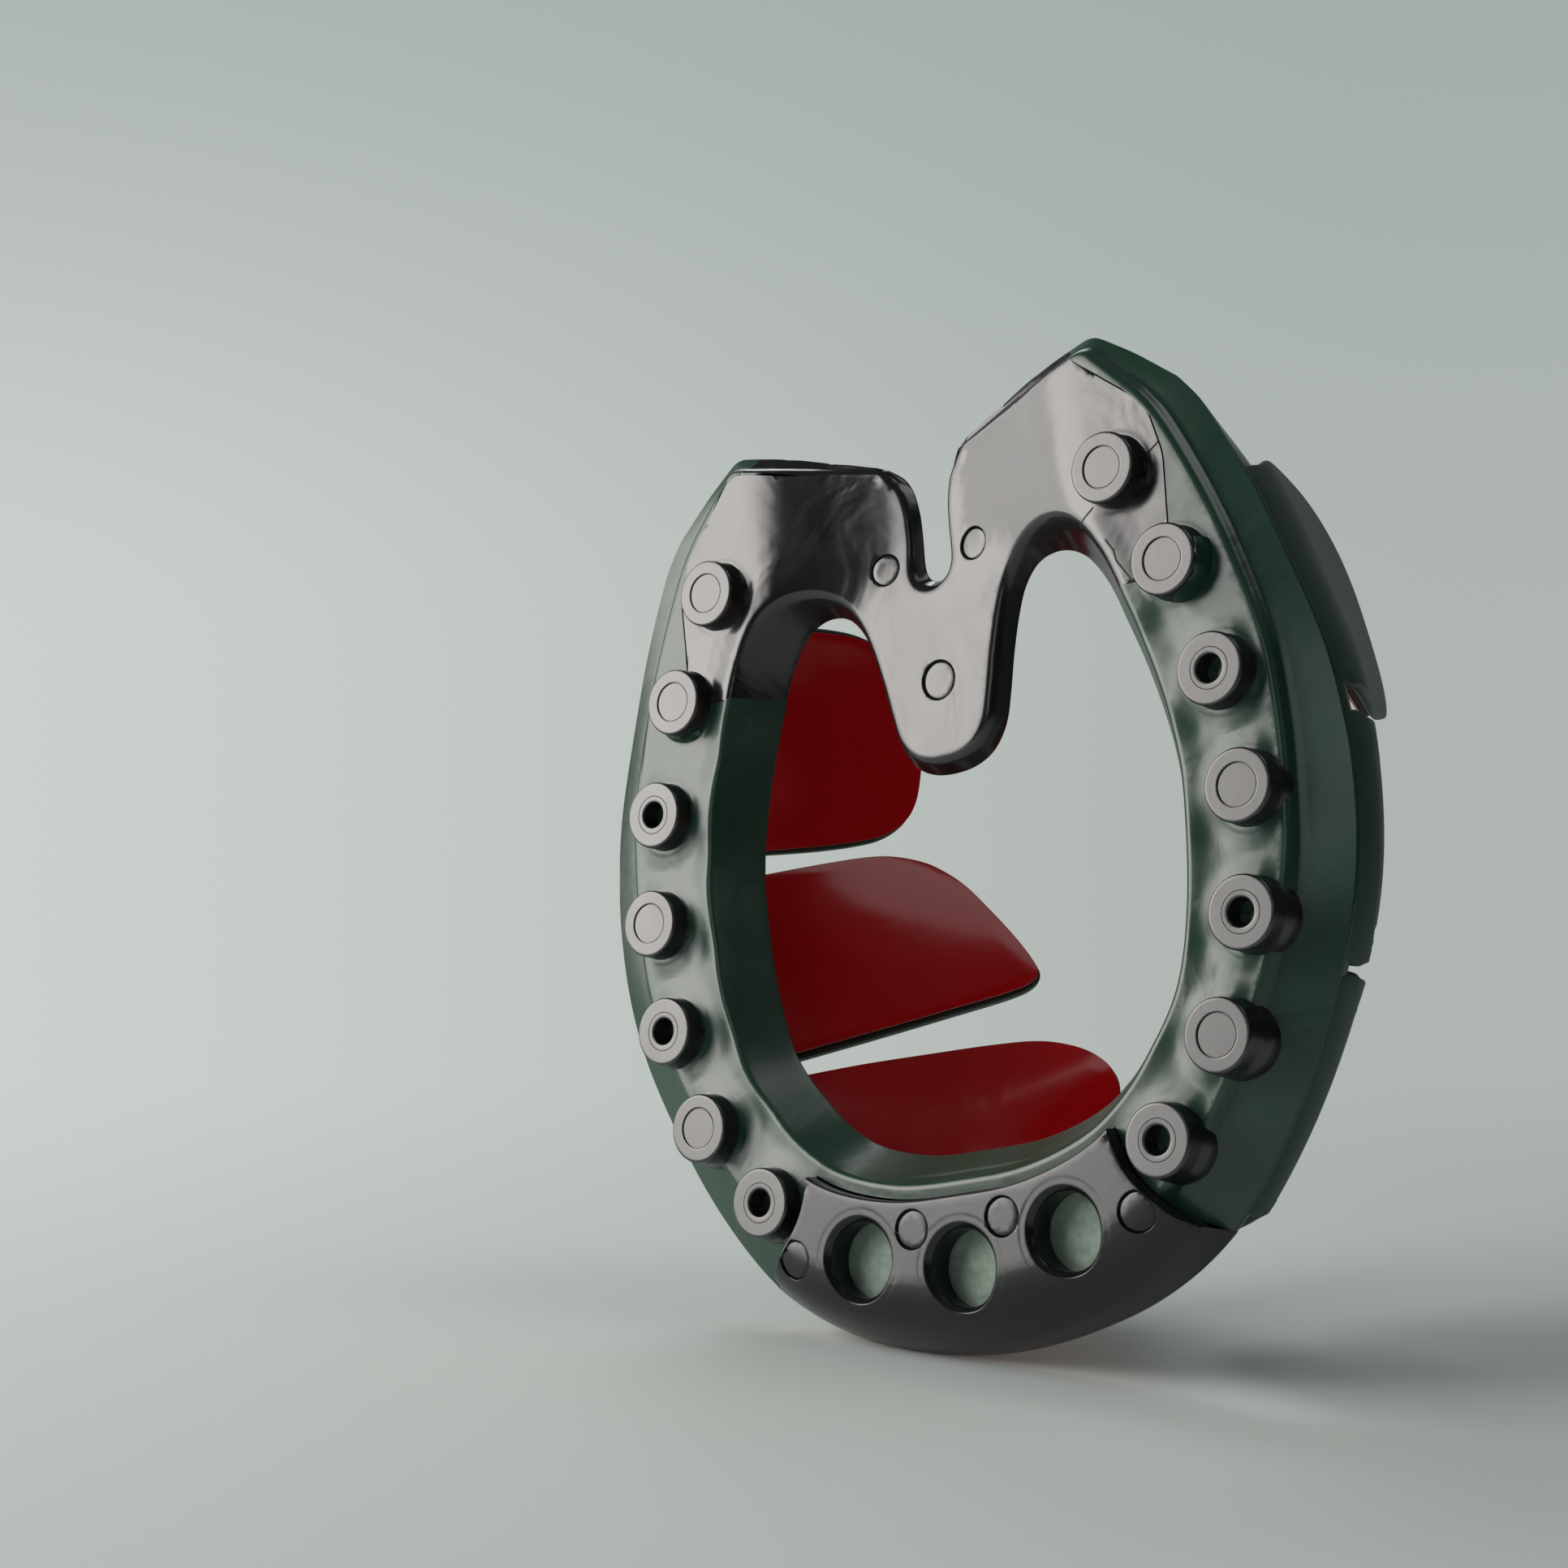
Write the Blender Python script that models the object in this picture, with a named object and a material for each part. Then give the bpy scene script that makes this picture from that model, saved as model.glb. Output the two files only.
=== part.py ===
"""Plastic horseshoe that is glued to the hoof by six soft flaps.

The shoe lies on its studs: the ground face looks down (-Z), the hoof face looks up (+Z), the toe
points to -Y and the heels to +Y. Left and right are the two sides in X, and they are mirror images.
A hard core with fourteen studs is moulded into a soft sole body. A hard cap covers the toe. Six soft
flaps stand on the rim, each with a foam pad and a release liner on its inner face.
All sizes are in metres.
"""

import math

import bmesh
import bpy
import numpy as np

# Overall form
HALF_WIDTH = 0.0649
HALF_LENGTH = 0.0700
HOOF_Z = 0.011
RIM_HEEL_Z = 0.0065
RIM_TOE_Z = 0.0098
EDGE_Z = 0.0055
SHOULDER_Z = 0.0041
TREAD_Z = 0.0035
INNER_Z = 0.0028
SHOULDER_SHARE = 0.96
TREAD_SHARE = 0.80
INNER_SHARE = 0.70
HEEL_DRAWS = [0.0, 0.0020, 0.0032]
HEEL_DRAW_SHARES = [0.629, 0.857, 0.971]
CLEARANCE = 0.0003
OVERRUN = 0.002
OUTLINE_STEPS = 2
SMOOTH_ANGLE = math.radians(32)

# Half of the rim's outline, toe to heel, as shares of half the width and half the length
RIM_SHARES = [
    (0.000, -1.000), (0.123, -0.993), (0.247, -0.973), (0.378, -0.939), (0.501, -0.885), (0.609, -0.811),
    (0.709, -0.708), (0.801, -0.583), (0.881, -0.441), (0.949, -0.292), (0.986, -0.156), (1.000, -0.014),
    (0.995, 0.114), (0.969, 0.270), (0.900, 0.477), (0.840, 0.633), (0.767, 0.782), (0.712, 0.856),
]
RIM_HEEL_SHARES = [(0.610, 0.935), (0.510, 1.000), (0.154, 0.911), (0.000, 0.872)]
# The outer edge of the ground face, on the same stations
EDGE_SHARES = [
    (0.000, -0.889), (0.111, -0.882), (0.220, -0.863), (0.336, -0.831), (0.445, -0.782), (0.542, -0.717),
    (0.632, -0.626), (0.713, -0.516), (0.784, -0.391), (0.844, -0.260), (0.878, -0.142), (0.892, -0.014),
    (0.895, 0.114), (0.881, 0.277), (0.826, 0.469), (0.764, 0.626), (0.690, 0.775), (0.639, 0.846),
]
EDGE_HEEL_SHARES = [(0.562, 0.924), (0.510, 0.976), (0.154, 0.886), (0.000, 0.850)]

# Opening, at the hoof face, from the middle of the toe round to the tip of the frog tongue
OPENING_SHARES = [
    (0.000, -0.590), (0.149, -0.585), (0.285, -0.552), (0.370, -0.503), (0.440, -0.435), (0.518, -0.329),
    (0.559, -0.178), (0.575, 0.000), (0.572, 0.092), (0.554, 0.192), (0.521, 0.307), (0.484, 0.405),
    (0.446, 0.497), (0.397, 0.565), (0.338, 0.594), (0.276, 0.587), (0.233, 0.547), (0.206, 0.488),
    (0.183, 0.411), (0.165, 0.333), (0.146, 0.270), (0.110, 0.222), (0.060, 0.197), (0.000, 0.190),
]
WALL_DRAFT_SHARE = 0.585
# Half of the notch between the heels, at the hoof face, from its bottom to the heel tips
NOTCH_SHARES = [
    (0.000, 0.611), (0.026, 0.621), (0.037, 0.650), (0.037, 0.779), (0.049, 0.836), (0.083, 0.889),
    (0.136, 0.931),
]
# Hollow across the heels, where the plates dip to the frog tongue: half widths and the height at each
TONGUE_Z = 0.0080
HOLLOW_SHARES = [0.478, 0.416, 0.339, 0.270, 0.216]
HOLLOW_Z = [0.0026, 0.0037, 0.0056, 0.0073, TONGUE_Z]
HOLLOW_FRONT_SHARE = 0.071

# Studs, heel to toe on one side
STUD_SHARES = [
    (0.559, 0.684), (0.683, 0.464), (0.766, 0.226), (0.801, -0.010), (0.778, -0.250), (0.692, -0.470),
    (0.527, -0.646),
]
STUD_BORED = [False, False, True, False, True, False, True]
STUD_RADIUS = 0.0051
STUD_ROOT_RADIUS = 0.0057
STUD_CHAMFER = 0.0004
STUD_FLARE_Z = 0.0030
STUD_ROOT_Z = 0.0048
STUD_DISC_RADIUS = 0.0030
STUD_DISC_DEPTH = 0.0003
STUD_BORE_RADIUS = 0.0020
STUD_BORE_DEPTH = 0.0060
STUD_STEPS = 18

# Core: heel plates, frog tongue and the band inside the branches
PLATE_SHARES = [
    (0.000, 0.114), (0.370, 0.114), (0.462, 0.450), (0.672, 0.450), (0.675, 0.557), (0.680, 0.694),
    (0.667, 0.797), (0.632, 0.843), (0.555, 0.904), (0.478, 0.966), (0.416, 1.057), (0.416, 1.100),
    (0.000, 1.100),
]
BAND_HALF_WIDTH = 0.0040
BAND_LOW_Z = 0.0066
BAND_HIGH_Z = 0.0090
BAND_TOE_SHARES = [(0.370, -0.743), (0.185, -0.794), (0.000, -0.809)]
MARK_DEPTH = 0.00035
HEEL_MARK_RADIUS = 0.00245
HEEL_MARK_SHARES = [(0.125, 0.656), (-0.125, 0.656)]
TONGUE_MARK_RADIUS = 0.00295
TONGUE_MARK_SHARES = [(0.0, 0.386)]
ROUND_STEPS = 24

# Toe cap
CAP_FACE_Z = 0.00075
CAP_SEAT_Z = 0.0055
CAP_LIP = 0.0019
CAP_WALL = 0.0032
CAP_BEVEL = 0.0006
CAP_ROLL_SHARES = [(0.56, 0.000), (0.70, 0.075), (0.83, 0.270), (0.93, 0.550), (0.985, 0.830)]
CAP_END_SHARES = [
    (0.000, -0.590), (0.392, -0.590), (0.420, -0.666), (0.449, -0.711), (0.500, -0.763), (0.548, -0.803),
    (0.605, -0.824), (0.665, -0.850), (0.700, -1.071), (0.000, -1.071),
]
CAP_INNER_END_SHARE = 0.507
CAP_OUTER_END_SHARE = 0.700
CAP_FRONT_SHARE = -0.33
CAP_STATIONS = 18
CAP_HOLE_RADIUS = 0.0054
CAP_HOLE_CHAMFER = 0.0008
CAP_HOLE_SHARES = [(-0.271, -0.789), (0.0, -0.831), (0.271, -0.789)]
CAP_MARK_RADIUS = 0.0028
CAP_MARK_SHARES = [(-0.451, -0.771), (-0.119, -0.744), (0.119, -0.744), (0.451, -0.771)]

# Flaps: thickness of the soft tab, the foam pad and the liner, and where the pad starts
FLAP_HEIGHT = 0.0527
FLAP_WALL = 0.0018
PAD_WALL = 0.0008
LINER_WALL = 0.0004
PAD_MARGIN = 0.0005
PAD_FOOT = 0.0016
PAD_FOOT_SHARE = 0.80
UPRIGHT = 0.0010
BEND = 0.0080
RING_SHARES = [1.0, 0.90, 0.66, 0.34]
# For each flap: its outline and middle as shares of the rim's run from the middle of the toe to a heel
# and of the flap height, and its lean in X and in Y for each unit of rise, at three or more runs
FLAPS = {
    "heel": {
        "outline_shares": [
            (0.6381, 0.0000), (0.6815, 0.0000), (0.7298, 0.0000), (0.7781, 0.0000), (0.8184, 0.0000),
            (0.8329, 0.0664), (0.8425, 0.1518), (0.8490, 0.2846), (0.8522, 0.4269), (0.8522, 0.5503),
            (0.8479, 0.6546), (0.8366, 0.7495), (0.8184, 0.8254), (0.7942, 0.8805), (0.7674, 0.9146),
            (0.7379, 0.9222), (0.7095, 0.9222), (0.6848, 0.9108), (0.6654, 0.8767), (0.6520, 0.8121),
            (0.6461, 0.7306), (0.6424, 0.5882), (0.6408, 0.3795), (0.6386, 0.1708), (0.6381, 0.0797),
        ],
        "middle_shares": (0.7459, 0.4554),
        "run_shares": [0.6332, 0.7379, 0.8586],
        "lean_shares": [(-0.450, 0.080), (-0.380, 0.060), (-0.310, 0.030)],
    },
    "middle": {
        "outline_shares": [
            (0.4336, 0.0000), (0.4776, 0.0000), (0.5232, 0.0000), (0.5688, 0.0000), (0.6134, 0.0000),
            (0.6139, 0.0797), (0.6150, 0.1708), (0.6171, 0.3416), (0.6198, 0.5123), (0.6209, 0.7021),
            (0.6161, 0.7970), (0.6032, 0.8729), (0.5849, 0.9165), (0.5635, 0.9431), (0.5367, 0.9602),
            (0.5098, 0.9753), (0.4830, 0.9886), (0.4588, 0.9981), (0.4401, 1.0000), (0.4288, 0.9734),
            (0.4250, 0.9108), (0.4261, 0.7590), (0.4282, 0.5503), (0.4309, 0.3416), (0.4331, 0.1708),
            (0.4336, 0.0797),
        ],
        "middle_shares": (0.5232, 0.4934),
        "run_shares": [0.4240, 0.4937, 0.5581, 0.6198],
        "lean_shares": [(-0.730, 0.340), (-0.735, 0.270), (-0.660, 0.190), (-0.520, 0.120)],
    },
    "toe": {
        "outline_shares": [
            (0.2388, 0.0000), (0.2817, 0.0000), (0.3274, 0.0000), (0.3757, 0.0000), (0.4234, 0.0000),
            (0.4229, 0.0797), (0.4213, 0.1708), (0.4164, 0.3416), (0.4089, 0.5123), (0.3982, 0.6641),
            (0.3864, 0.7970), (0.3730, 0.8918), (0.3542, 0.9450), (0.3274, 0.9791), (0.2898, 0.9924),
            (0.2469, 0.9734), (0.2066, 0.9336), (0.1717, 0.8786), (0.1406, 0.8065), (0.1191, 0.7116),
            (0.1106, 0.6072), (0.1181, 0.5028), (0.1422, 0.4023), (0.1744, 0.3074), (0.2039, 0.2239),
            (0.2275, 0.1518), (0.2388, 0.0759),
        ],
        "middle_shares": (0.2898, 0.5123),
        "run_shares": [0.1073, 0.2147, 0.3220, 0.4240],
        "lean_shares": [(-0.360, 0.600), (-0.580, 0.540), (-0.775, 0.410), (-0.620, 0.250)],
    },
}
SIDES = {"left": 1, "right": -1}

# Colours, roughness and metallic value of each material
FINISHES = {
    "core_plastic": ((0.030, 0.030, 0.033), 0.30, 0.0),
    "sole_plastic": ((0.035, 0.090, 0.062), 0.32, 0.0),
    "flap_plastic": ((0.060, 0.115, 0.085), 0.55, 0.0),
    "pad_foam": ((0.55, 0.52, 0.50), 0.80, 0.0),
    "liner_film": ((0.42, 0.010, 0.018), 0.22, 0.0),
}


def clear_scene():
    """Remove whatever the scene holds."""
    for thing in list(bpy.data.objects):
        bpy.data.objects.remove(thing, do_unlink=True)


def finish(name):
    """The material of that name, made once."""
    found = bpy.data.materials.get(name)
    if found:
        return found
    colour, roughness, metallic = FINISHES[name]
    material = bpy.data.materials.new(name)
    material.use_nodes = True
    shader = material.node_tree.nodes["Principled BSDF"]
    shader.inputs["Base Color"].default_value = (*colour, 1.0)
    shader.inputs["Roughness"].default_value = roughness
    shader.inputs["Metallic"].default_value = metallic
    return material


def placed(shares):
    """Points in metres from shares of half the width and half the length."""
    return [np.array([x * HALF_WIDTH, y * HALF_LENGTH]) for x, y in shares]


def smooth_line(points, steps, mirrored_start=False, mirrored_end=False):
    """Points along a smooth curve through the given ones. A mirrored end is square to the middle plane."""
    pts = [np.array(p, float) for p in points]
    flip = np.array([-1.0, 1.0])
    before = pts[1] * flip if mirrored_start else 2 * pts[0] - pts[1]
    after = pts[-2] * flip if mirrored_end else 2 * pts[-1] - pts[-2]
    chain = [before, *pts, after]
    line = []
    for a, b, c, d in zip(chain, chain[1:], chain[2:], chain[3:]):
        for step in range(steps):
            t = step / steps
            bow = (2 * a - 5 * b + 4 * c - d) * t**2 + (3 * b - a - 3 * c + d) * t**3
            line.append((2 * b + (c - a) * t + bow) / 2)
    line.append(pts[-1])
    return line


def half_outline(shares, heel_shares):
    """Half of an outline of the shoe, in metres, toe to heel."""
    return smooth_line(placed(shares), OUTLINE_STEPS, mirrored_start=True) + placed(heel_shares)


def closed_outline(half):
    """A whole outline from its half with X of zero or more, counter-clockwise from above."""
    return half + [p * np.array([-1.0, 1.0]) for p in reversed(half[1:-1])]


def grown(outline, distance):
    """An outline moved out by a distance, square to itself."""
    pts = np.array(outline)
    along = np.roll(pts, -1, axis=0) - np.roll(pts, 1, axis=0)
    along /= np.linalg.norm(along, axis=1)[:, None]
    out = np.stack([along[:, 1], -along[:, 0]], axis=1)
    x, y = pts[:, 0], pts[:, 1]
    area = np.sum(x * np.roll(y, -1) - np.roll(x, -1) * y)
    return list(pts + out * distance * math.copysign(1, area))


def make_object(name, bm, material=None, guide=False):
    """An object from a bmesh, with its faces pointing out, shaded smooth up to the sharp edges."""
    bmesh.ops.recalc_face_normals(bm, faces=bm.faces)
    mesh = bpy.data.meshes.new(name)
    bm.to_mesh(mesh)
    bm.free()
    mesh.shade_smooth()
    mesh.set_sharp_from_angle(angle=SMOOTH_ANGLE)
    thing = bpy.data.objects.new(name, mesh)
    bpy.context.scene.collection.objects.link(thing)
    if material:
        mesh.materials.append(finish(material))
    if guide:
        thing.hide_render = True
        thing.display_type = "WIRE"
    return thing


def loft(rings):
    """A bmesh through rings of equal counts, each a list of (x, y, z), closed by a face at both ends."""
    bm = bmesh.new()
    rows = [[bm.verts.new(p) for p in ring] for ring in rings]
    for low, high in zip(rows, rows[1:]):
        for i in range(len(low)):
            j = (i + 1) % len(low)
            bm.faces.new((low[i], low[j], high[j], high[i]))
    bmesh.ops.triangulate(bm, faces=bm.faces)
    bm.faces.new(rows[0])
    bm.faces.new(rows[-1])
    return bm


def prism(outline, low, high):
    """A bmesh of an outline between two heights."""
    return loft([[(x, y, z) for x, y in outline] for z in (low, high)])


def turned(profile, steps, centre):
    """A bmesh turned round a vertical axis from (radius, z) points that start and end on the axis."""
    bm = bmesh.new()
    rings = []
    for radius, z in profile:
        if radius == 0:
            rings.append([bm.verts.new((centre[0], centre[1], z))])
            continue
        turns = [2 * math.pi * i / steps for i in range(steps)]
        places = [(centre[0] + radius * math.cos(a), centre[1] + radius * math.sin(a), z) for a in turns]
        rings.append([bm.verts.new(p) for p in places])
    for low, high in zip(rings, rings[1:]):
        for i in range(steps):
            j = (i + 1) % steps
            corners = [low[i % len(low)], low[j % len(low)], high[j % len(high)], high[i % len(high)]]
            bm.faces.new(list(dict.fromkeys(corners)))
    return bm


def joined(parts):
    """One bmesh from several that don't touch."""
    whole = bmesh.new()
    for part in parts:
        mesh = bpy.data.meshes.new("joining")
        part.to_mesh(mesh)
        part.free()
        whole.from_mesh(mesh)
        bpy.data.meshes.remove(mesh)
    return whole


def carve(thing, tool, operation="DIFFERENCE"):
    """Cut, keep or join with another object, as a live modifier."""
    modifier = thing.modifiers.new(f"{operation.lower()} {tool.name}", "BOOLEAN")
    modifier.operation = operation
    modifier.solver = "EXACT"
    modifier.object = tool


def rim_z(y):
    """Height of the widest line of the rim, which rises from the heels to the toe."""
    share = (HALF_LENGTH - y) / (2 * HALF_LENGTH)
    return RIM_HEEL_Z + (RIM_TOE_Z - RIM_HEEL_Z) * share


def shoe_blank():
    """The shoe before its openings are cut: hoof face, rim, outer edge and the crowned ground face."""
    rim = closed_outline(half_outline(RIM_SHARES, RIM_HEEL_SHARES))
    edge = closed_outline(half_outline(EDGE_SHARES, EDGE_HEEL_SHARES))
    draws = np.interp([y / HALF_LENGTH for _, y in rim], HEEL_DRAW_SHARES, HEEL_DRAWS)
    top = list(grown(rim, -draws[:, None]))
    return loft([
        [(x, y, HOOF_Z) for x, y in top],
        [(x, y, rim_z(y)) for x, y in rim],
        [(x, y, EDGE_Z) for x, y in edge],
        [(x * SHOULDER_SHARE, y * SHOULDER_SHARE, SHOULDER_Z) for x, y in edge],
        [(x * TREAD_SHARE, y * TREAD_SHARE, TREAD_Z) for x, y in edge],
        [(x * INNER_SHARE, y * INNER_SHARE, INNER_Z) for x, y in edge],
    ])


def drafted(outline, name):
    """A cutter through the shoe that widens from the hoof face to the ground, or to the tongue's face."""
    tongue_x = HOLLOW_SHARES[-1] * HALF_WIDTH
    tongue_y = HOLLOW_FRONT_SHARE * HALF_LENGTH
    rings = []
    for z in (-OVERRUN, TONGUE_Z, HOOF_Z + OVERRUN):
        full = grown(outline, (HOOF_Z - z) * WALL_DRAFT_SHARE)
        least = grown(outline, (HOOF_Z - max(z, TONGUE_Z)) * WALL_DRAFT_SHARE)
        ring = []
        for place, at_face, below in zip(outline, least, full):
            on_tongue = abs(place[0]) < tongue_x and place[1] > tongue_y
            ring.append((*(at_face if on_tongue else below), z))
        rings.append(ring)
    return make_object(name, loft(rings), guide=True)


def opening_outline():
    """The opening at the hoof face: branches, heel lobes and frog tongue."""
    half = smooth_line(placed(OPENING_SHARES), OUTLINE_STEPS, mirrored_start=True, mirrored_end=True)
    return closed_outline(half)


def notch_outline():
    """The notch between the heels at the hoof face, run out past the heels."""
    half = placed(NOTCH_SHARES)
    past_y = HALF_LENGTH + OVERRUN
    return closed_outline(half + [np.array([half[-1][0] + OVERRUN, past_y]), np.array([0.0, past_y])])


def heel_hollow():
    """Cutter for the hollow across the heels, a prism along Y."""
    widths = [share * HALF_WIDTH for share in HOLLOW_SHARES]
    section = [(widths[0], -OVERRUN), *zip(widths, HOLLOW_Z)]
    section += [(-x, z) for x, z in reversed(section)]
    ends = (HOLLOW_FRONT_SHARE * HALF_LENGTH, HALF_LENGTH + OVERRUN)
    bm = loft([[(x, y, z) for x, z in section] for y in ends])
    return make_object("hollow_cutter", bm, guide=True)


def plate_region(growth, name):
    """The part of the shoe that the core fills: heel plates and frog tongue."""
    bm = prism(grown(closed_outline(placed(PLATE_SHARES)), growth), -OVERRUN, HOOF_Z + OVERRUN)
    return make_object(name, bm, guide=True)


def band(growth, name):
    """The band inside the branches, along the studs and round the toe."""
    half = smooth_line(placed(STUD_SHARES[1:] + BAND_TOE_SHARES), OUTLINE_STEPS, mirrored_end=True)
    line = np.array(half + [p * np.array([-1.0, 1.0]) for p in reversed(half[:-1])])
    along = np.gradient(line, axis=0)
    along /= np.linalg.norm(along, axis=1)[:, None]
    out = np.stack([along[:, 1], -along[:, 0]], axis=1) * (BAND_HALF_WIDTH + growth)
    low, high = BAND_LOW_Z - growth, BAND_HIGH_Z + growth
    rings = []
    for middle, step in zip(line, out):
        a, b = middle - step, middle + step
        rings.append([(*a, low), (*b, low), (*b, high), (*a, high)])
    return make_object(name, loft(rings), guide=True)


def stud_profile(bored, root_z):
    """Radius and height of a stud from the middle of its end face to its root inside the core."""
    if bored:
        profile = [(0.0, STUD_BORE_DEPTH), (STUD_BORE_RADIUS, STUD_BORE_DEPTH), (STUD_BORE_RADIUS, 0.0)]
    else:
        profile = [(0.0, STUD_DISC_DEPTH), (STUD_DISC_RADIUS, STUD_DISC_DEPTH), (STUD_DISC_RADIUS, 0.0)]
    profile += [
        (STUD_RADIUS - STUD_CHAMFER, 0.0), (STUD_RADIUS, STUD_CHAMFER), (STUD_RADIUS, STUD_FLARE_Z),
        (STUD_ROOT_RADIUS, STUD_ROOT_Z), (STUD_ROOT_RADIUS, root_z), (0.0, root_z),
    ]
    return profile


def stud_places():
    """Middle of each stud and whether it is bored, on both sides."""
    places = []
    for side in SIDES.values():
        places += [((side * x, y), bored) for (x, y), bored in zip(placed(STUD_SHARES), STUD_BORED)]
    return places


def studs():
    """All studs, sunk into the band or the heel plates."""
    root_z = (BAND_LOW_Z + BAND_HIGH_Z) / 2
    parts = [turned(stud_profile(bored, root_z), STUD_STEPS, place) for place, bored in stud_places()]
    return make_object("stud_tool", joined(parts), guide=True)


def stud_room():
    """Room for the studs in the soft body."""
    radius = STUD_ROOT_RADIUS + CLEARANCE
    root_z = (BAND_LOW_Z + BAND_HIGH_Z) / 2
    profile = [(0.0, -OVERRUN), (radius, -OVERRUN), (radius, root_z), (0.0, root_z)]
    parts = [turned(profile, STUD_STEPS, place) for place, _ in stud_places()]
    return make_object("stud_room_cutter", joined(parts), guide=True)


def round_marks(shares, radius, face_z, name):
    """Cutter for shallow round marks in a ground face."""
    depth = face_z + MARK_DEPTH
    profile = [(0.0, -OVERRUN), (radius, -OVERRUN), (radius, depth), (0.0, depth)]
    parts = [turned(profile, ROUND_STEPS, place) for place in placed(shares)]
    return make_object(name, joined(parts), guide=True)


def opening_cutters():
    """The three cutters that the core and the soft body share."""
    opening = drafted(opening_outline(), "opening_cutter")
    return [opening, drafted(notch_outline(), "notch_cutter"), heel_hollow()]


def tread_core(cutters):
    """Heel plates, frog tongue, band and studs in one hard moulding."""
    core = make_object("tread_core", shoe_blank(), "core_plastic")
    carve(core, plate_region(0.0, "plate_tool"), "INTERSECT")
    for cutter in cutters:
        carve(core, cutter)
    carve(core, band(0.0, "band_tool"), "UNION")
    carve(core, studs(), "UNION")
    carve(core, round_marks(HEEL_MARK_SHARES, HEEL_MARK_RADIUS, TONGUE_Z, "heel_mark_cutter"))
    carve(core, round_marks(TONGUE_MARK_SHARES, TONGUE_MARK_RADIUS, TONGUE_Z, "tongue_mark_cutter"))
    return core


def cap_lines():
    """Inner and outer line of the toe cap, station by station from the right to the left."""
    lip = np.array(grown(opening_outline(), (HOOF_Z - INNER_Z) * WALL_DRAFT_SHARE + CAP_LIP))
    rim = np.array(closed_outline(half_outline(RIM_SHARES, RIM_HEEL_SHARES)))
    lines = []
    for line, end_share in ((lip, CAP_INNER_END_SHARE), (rim, CAP_OUTER_END_SHARE)):
        end_x = end_share * HALF_WIDTH
        front = line[line[:, 1] < CAP_FRONT_SHARE * HALF_LENGTH]
        front = front[np.argsort(front[:, 0])]
        xs = np.linspace(-end_x, end_x, CAP_STATIONS + 1)
        lines.append([np.array([x, np.interp(x, front[:, 0], front[:, 1])]) for x in xs])
    return lines


def cap_section(growth):
    """Toe cap's section as (share from the inner line to the rim, z, shift), for a growth of its seat."""
    drop = HOOF_Z - CAP_FACE_Z
    face = [(0.0, CAP_FACE_Z + CAP_BEVEL, -growth), (0.0, CAP_FACE_Z, CAP_BEVEL)]
    face += [(share, CAP_FACE_Z + depth * drop, 0.0) for share, depth in CAP_ROLL_SHARES]
    if growth:
        face = [(0.0, -OVERRUN, -growth), (1.0, -OVERRUN, OVERRUN)]
    top = HOOF_Z + (OVERRUN if growth else 0.0)
    wall = CAP_WALL + growth
    seat = CAP_SEAT_Z + growth
    outer = [(1.0, top, OVERRUN if growth else 0.0)]
    inner = [(1.0, top, -wall), (1.0, seat + CAP_WALL, -wall)]
    inner += [(1.0, seat, -wall - CAP_WALL), (0.0, seat, -growth)]
    return face + outer + inner


def cap_solid(growth, name, material=None):
    """The toe cap's form, or its seat in the soft body when grown."""
    lip, rim = cap_lines()
    rings = []
    for a, b in zip(lip, rim):
        way = (b - a) / np.linalg.norm(b - a)
        ring = []
        for share, z, shift in cap_section(growth):
            place = a + (b - a) * share + way * shift
            ring.append((place[0], place[1], z))
        rings.append(ring)
    cap = make_object(name, loft(rings), material, guide=material is None)
    ends = grown(closed_outline(placed(CAP_END_SHARES)), growth)
    ends = prism(ends, -2 * OVERRUN, HOOF_Z + 2 * OVERRUN)
    carve(cap, make_object(f"{name}_ends", ends, guide=True), "INTERSECT")
    return cap


def toe_cap():
    """The hard cap that is let into the toe, with three holes and four marks."""
    cap = cap_solid(0.0, "toe_cap", "core_plastic")
    wide = CAP_HOLE_RADIUS + CAP_HOLE_CHAMFER
    past = CAP_SEAT_Z + OVERRUN
    profile = [(0.0, -OVERRUN), (wide, -OVERRUN), (wide, CAP_FACE_Z)]
    profile += [(CAP_HOLE_RADIUS, CAP_FACE_Z + CAP_HOLE_CHAMFER), (CAP_HOLE_RADIUS, past), (0.0, past)]
    holes = joined([turned(profile, ROUND_STEPS, place) for place in placed(CAP_HOLE_SHARES)])
    carve(cap, make_object("cap_hole_cutter", holes, guide=True))
    carve(cap, round_marks(CAP_MARK_SHARES, CAP_MARK_RADIUS, CAP_FACE_Z, "cap_mark_cutter"))
    return cap


def sole_body(cutters):
    """The soft overmould: branches, rim and toe, with room for the core and a seat for the toe cap."""
    body = make_object("sole_body", shoe_blank(), "sole_plastic")
    for cutter in cutters:
        carve(body, cutter)
    carve(body, plate_region(CLEARANCE, "plate_room_cutter"))
    carve(body, band(CLEARANCE, "band_room_cutter"))
    carve(body, stud_room())
    carve(body, cap_solid(CLEARANCE, "cap_seat_cutter"))
    return body


def rim_place(share):
    """Point of the rim at a share of its run from the middle of the toe, on the side with X above zero."""
    side = np.array(half_outline(RIM_SHARES, RIM_HEEL_SHARES[:2]))
    runs = np.concatenate([[0.0], np.cumsum(np.linalg.norm(np.diff(side, axis=0), axis=1))])
    return np.array([np.interp(share * runs[-1], runs, side[:, k]) for k in (0, 1)])


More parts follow.
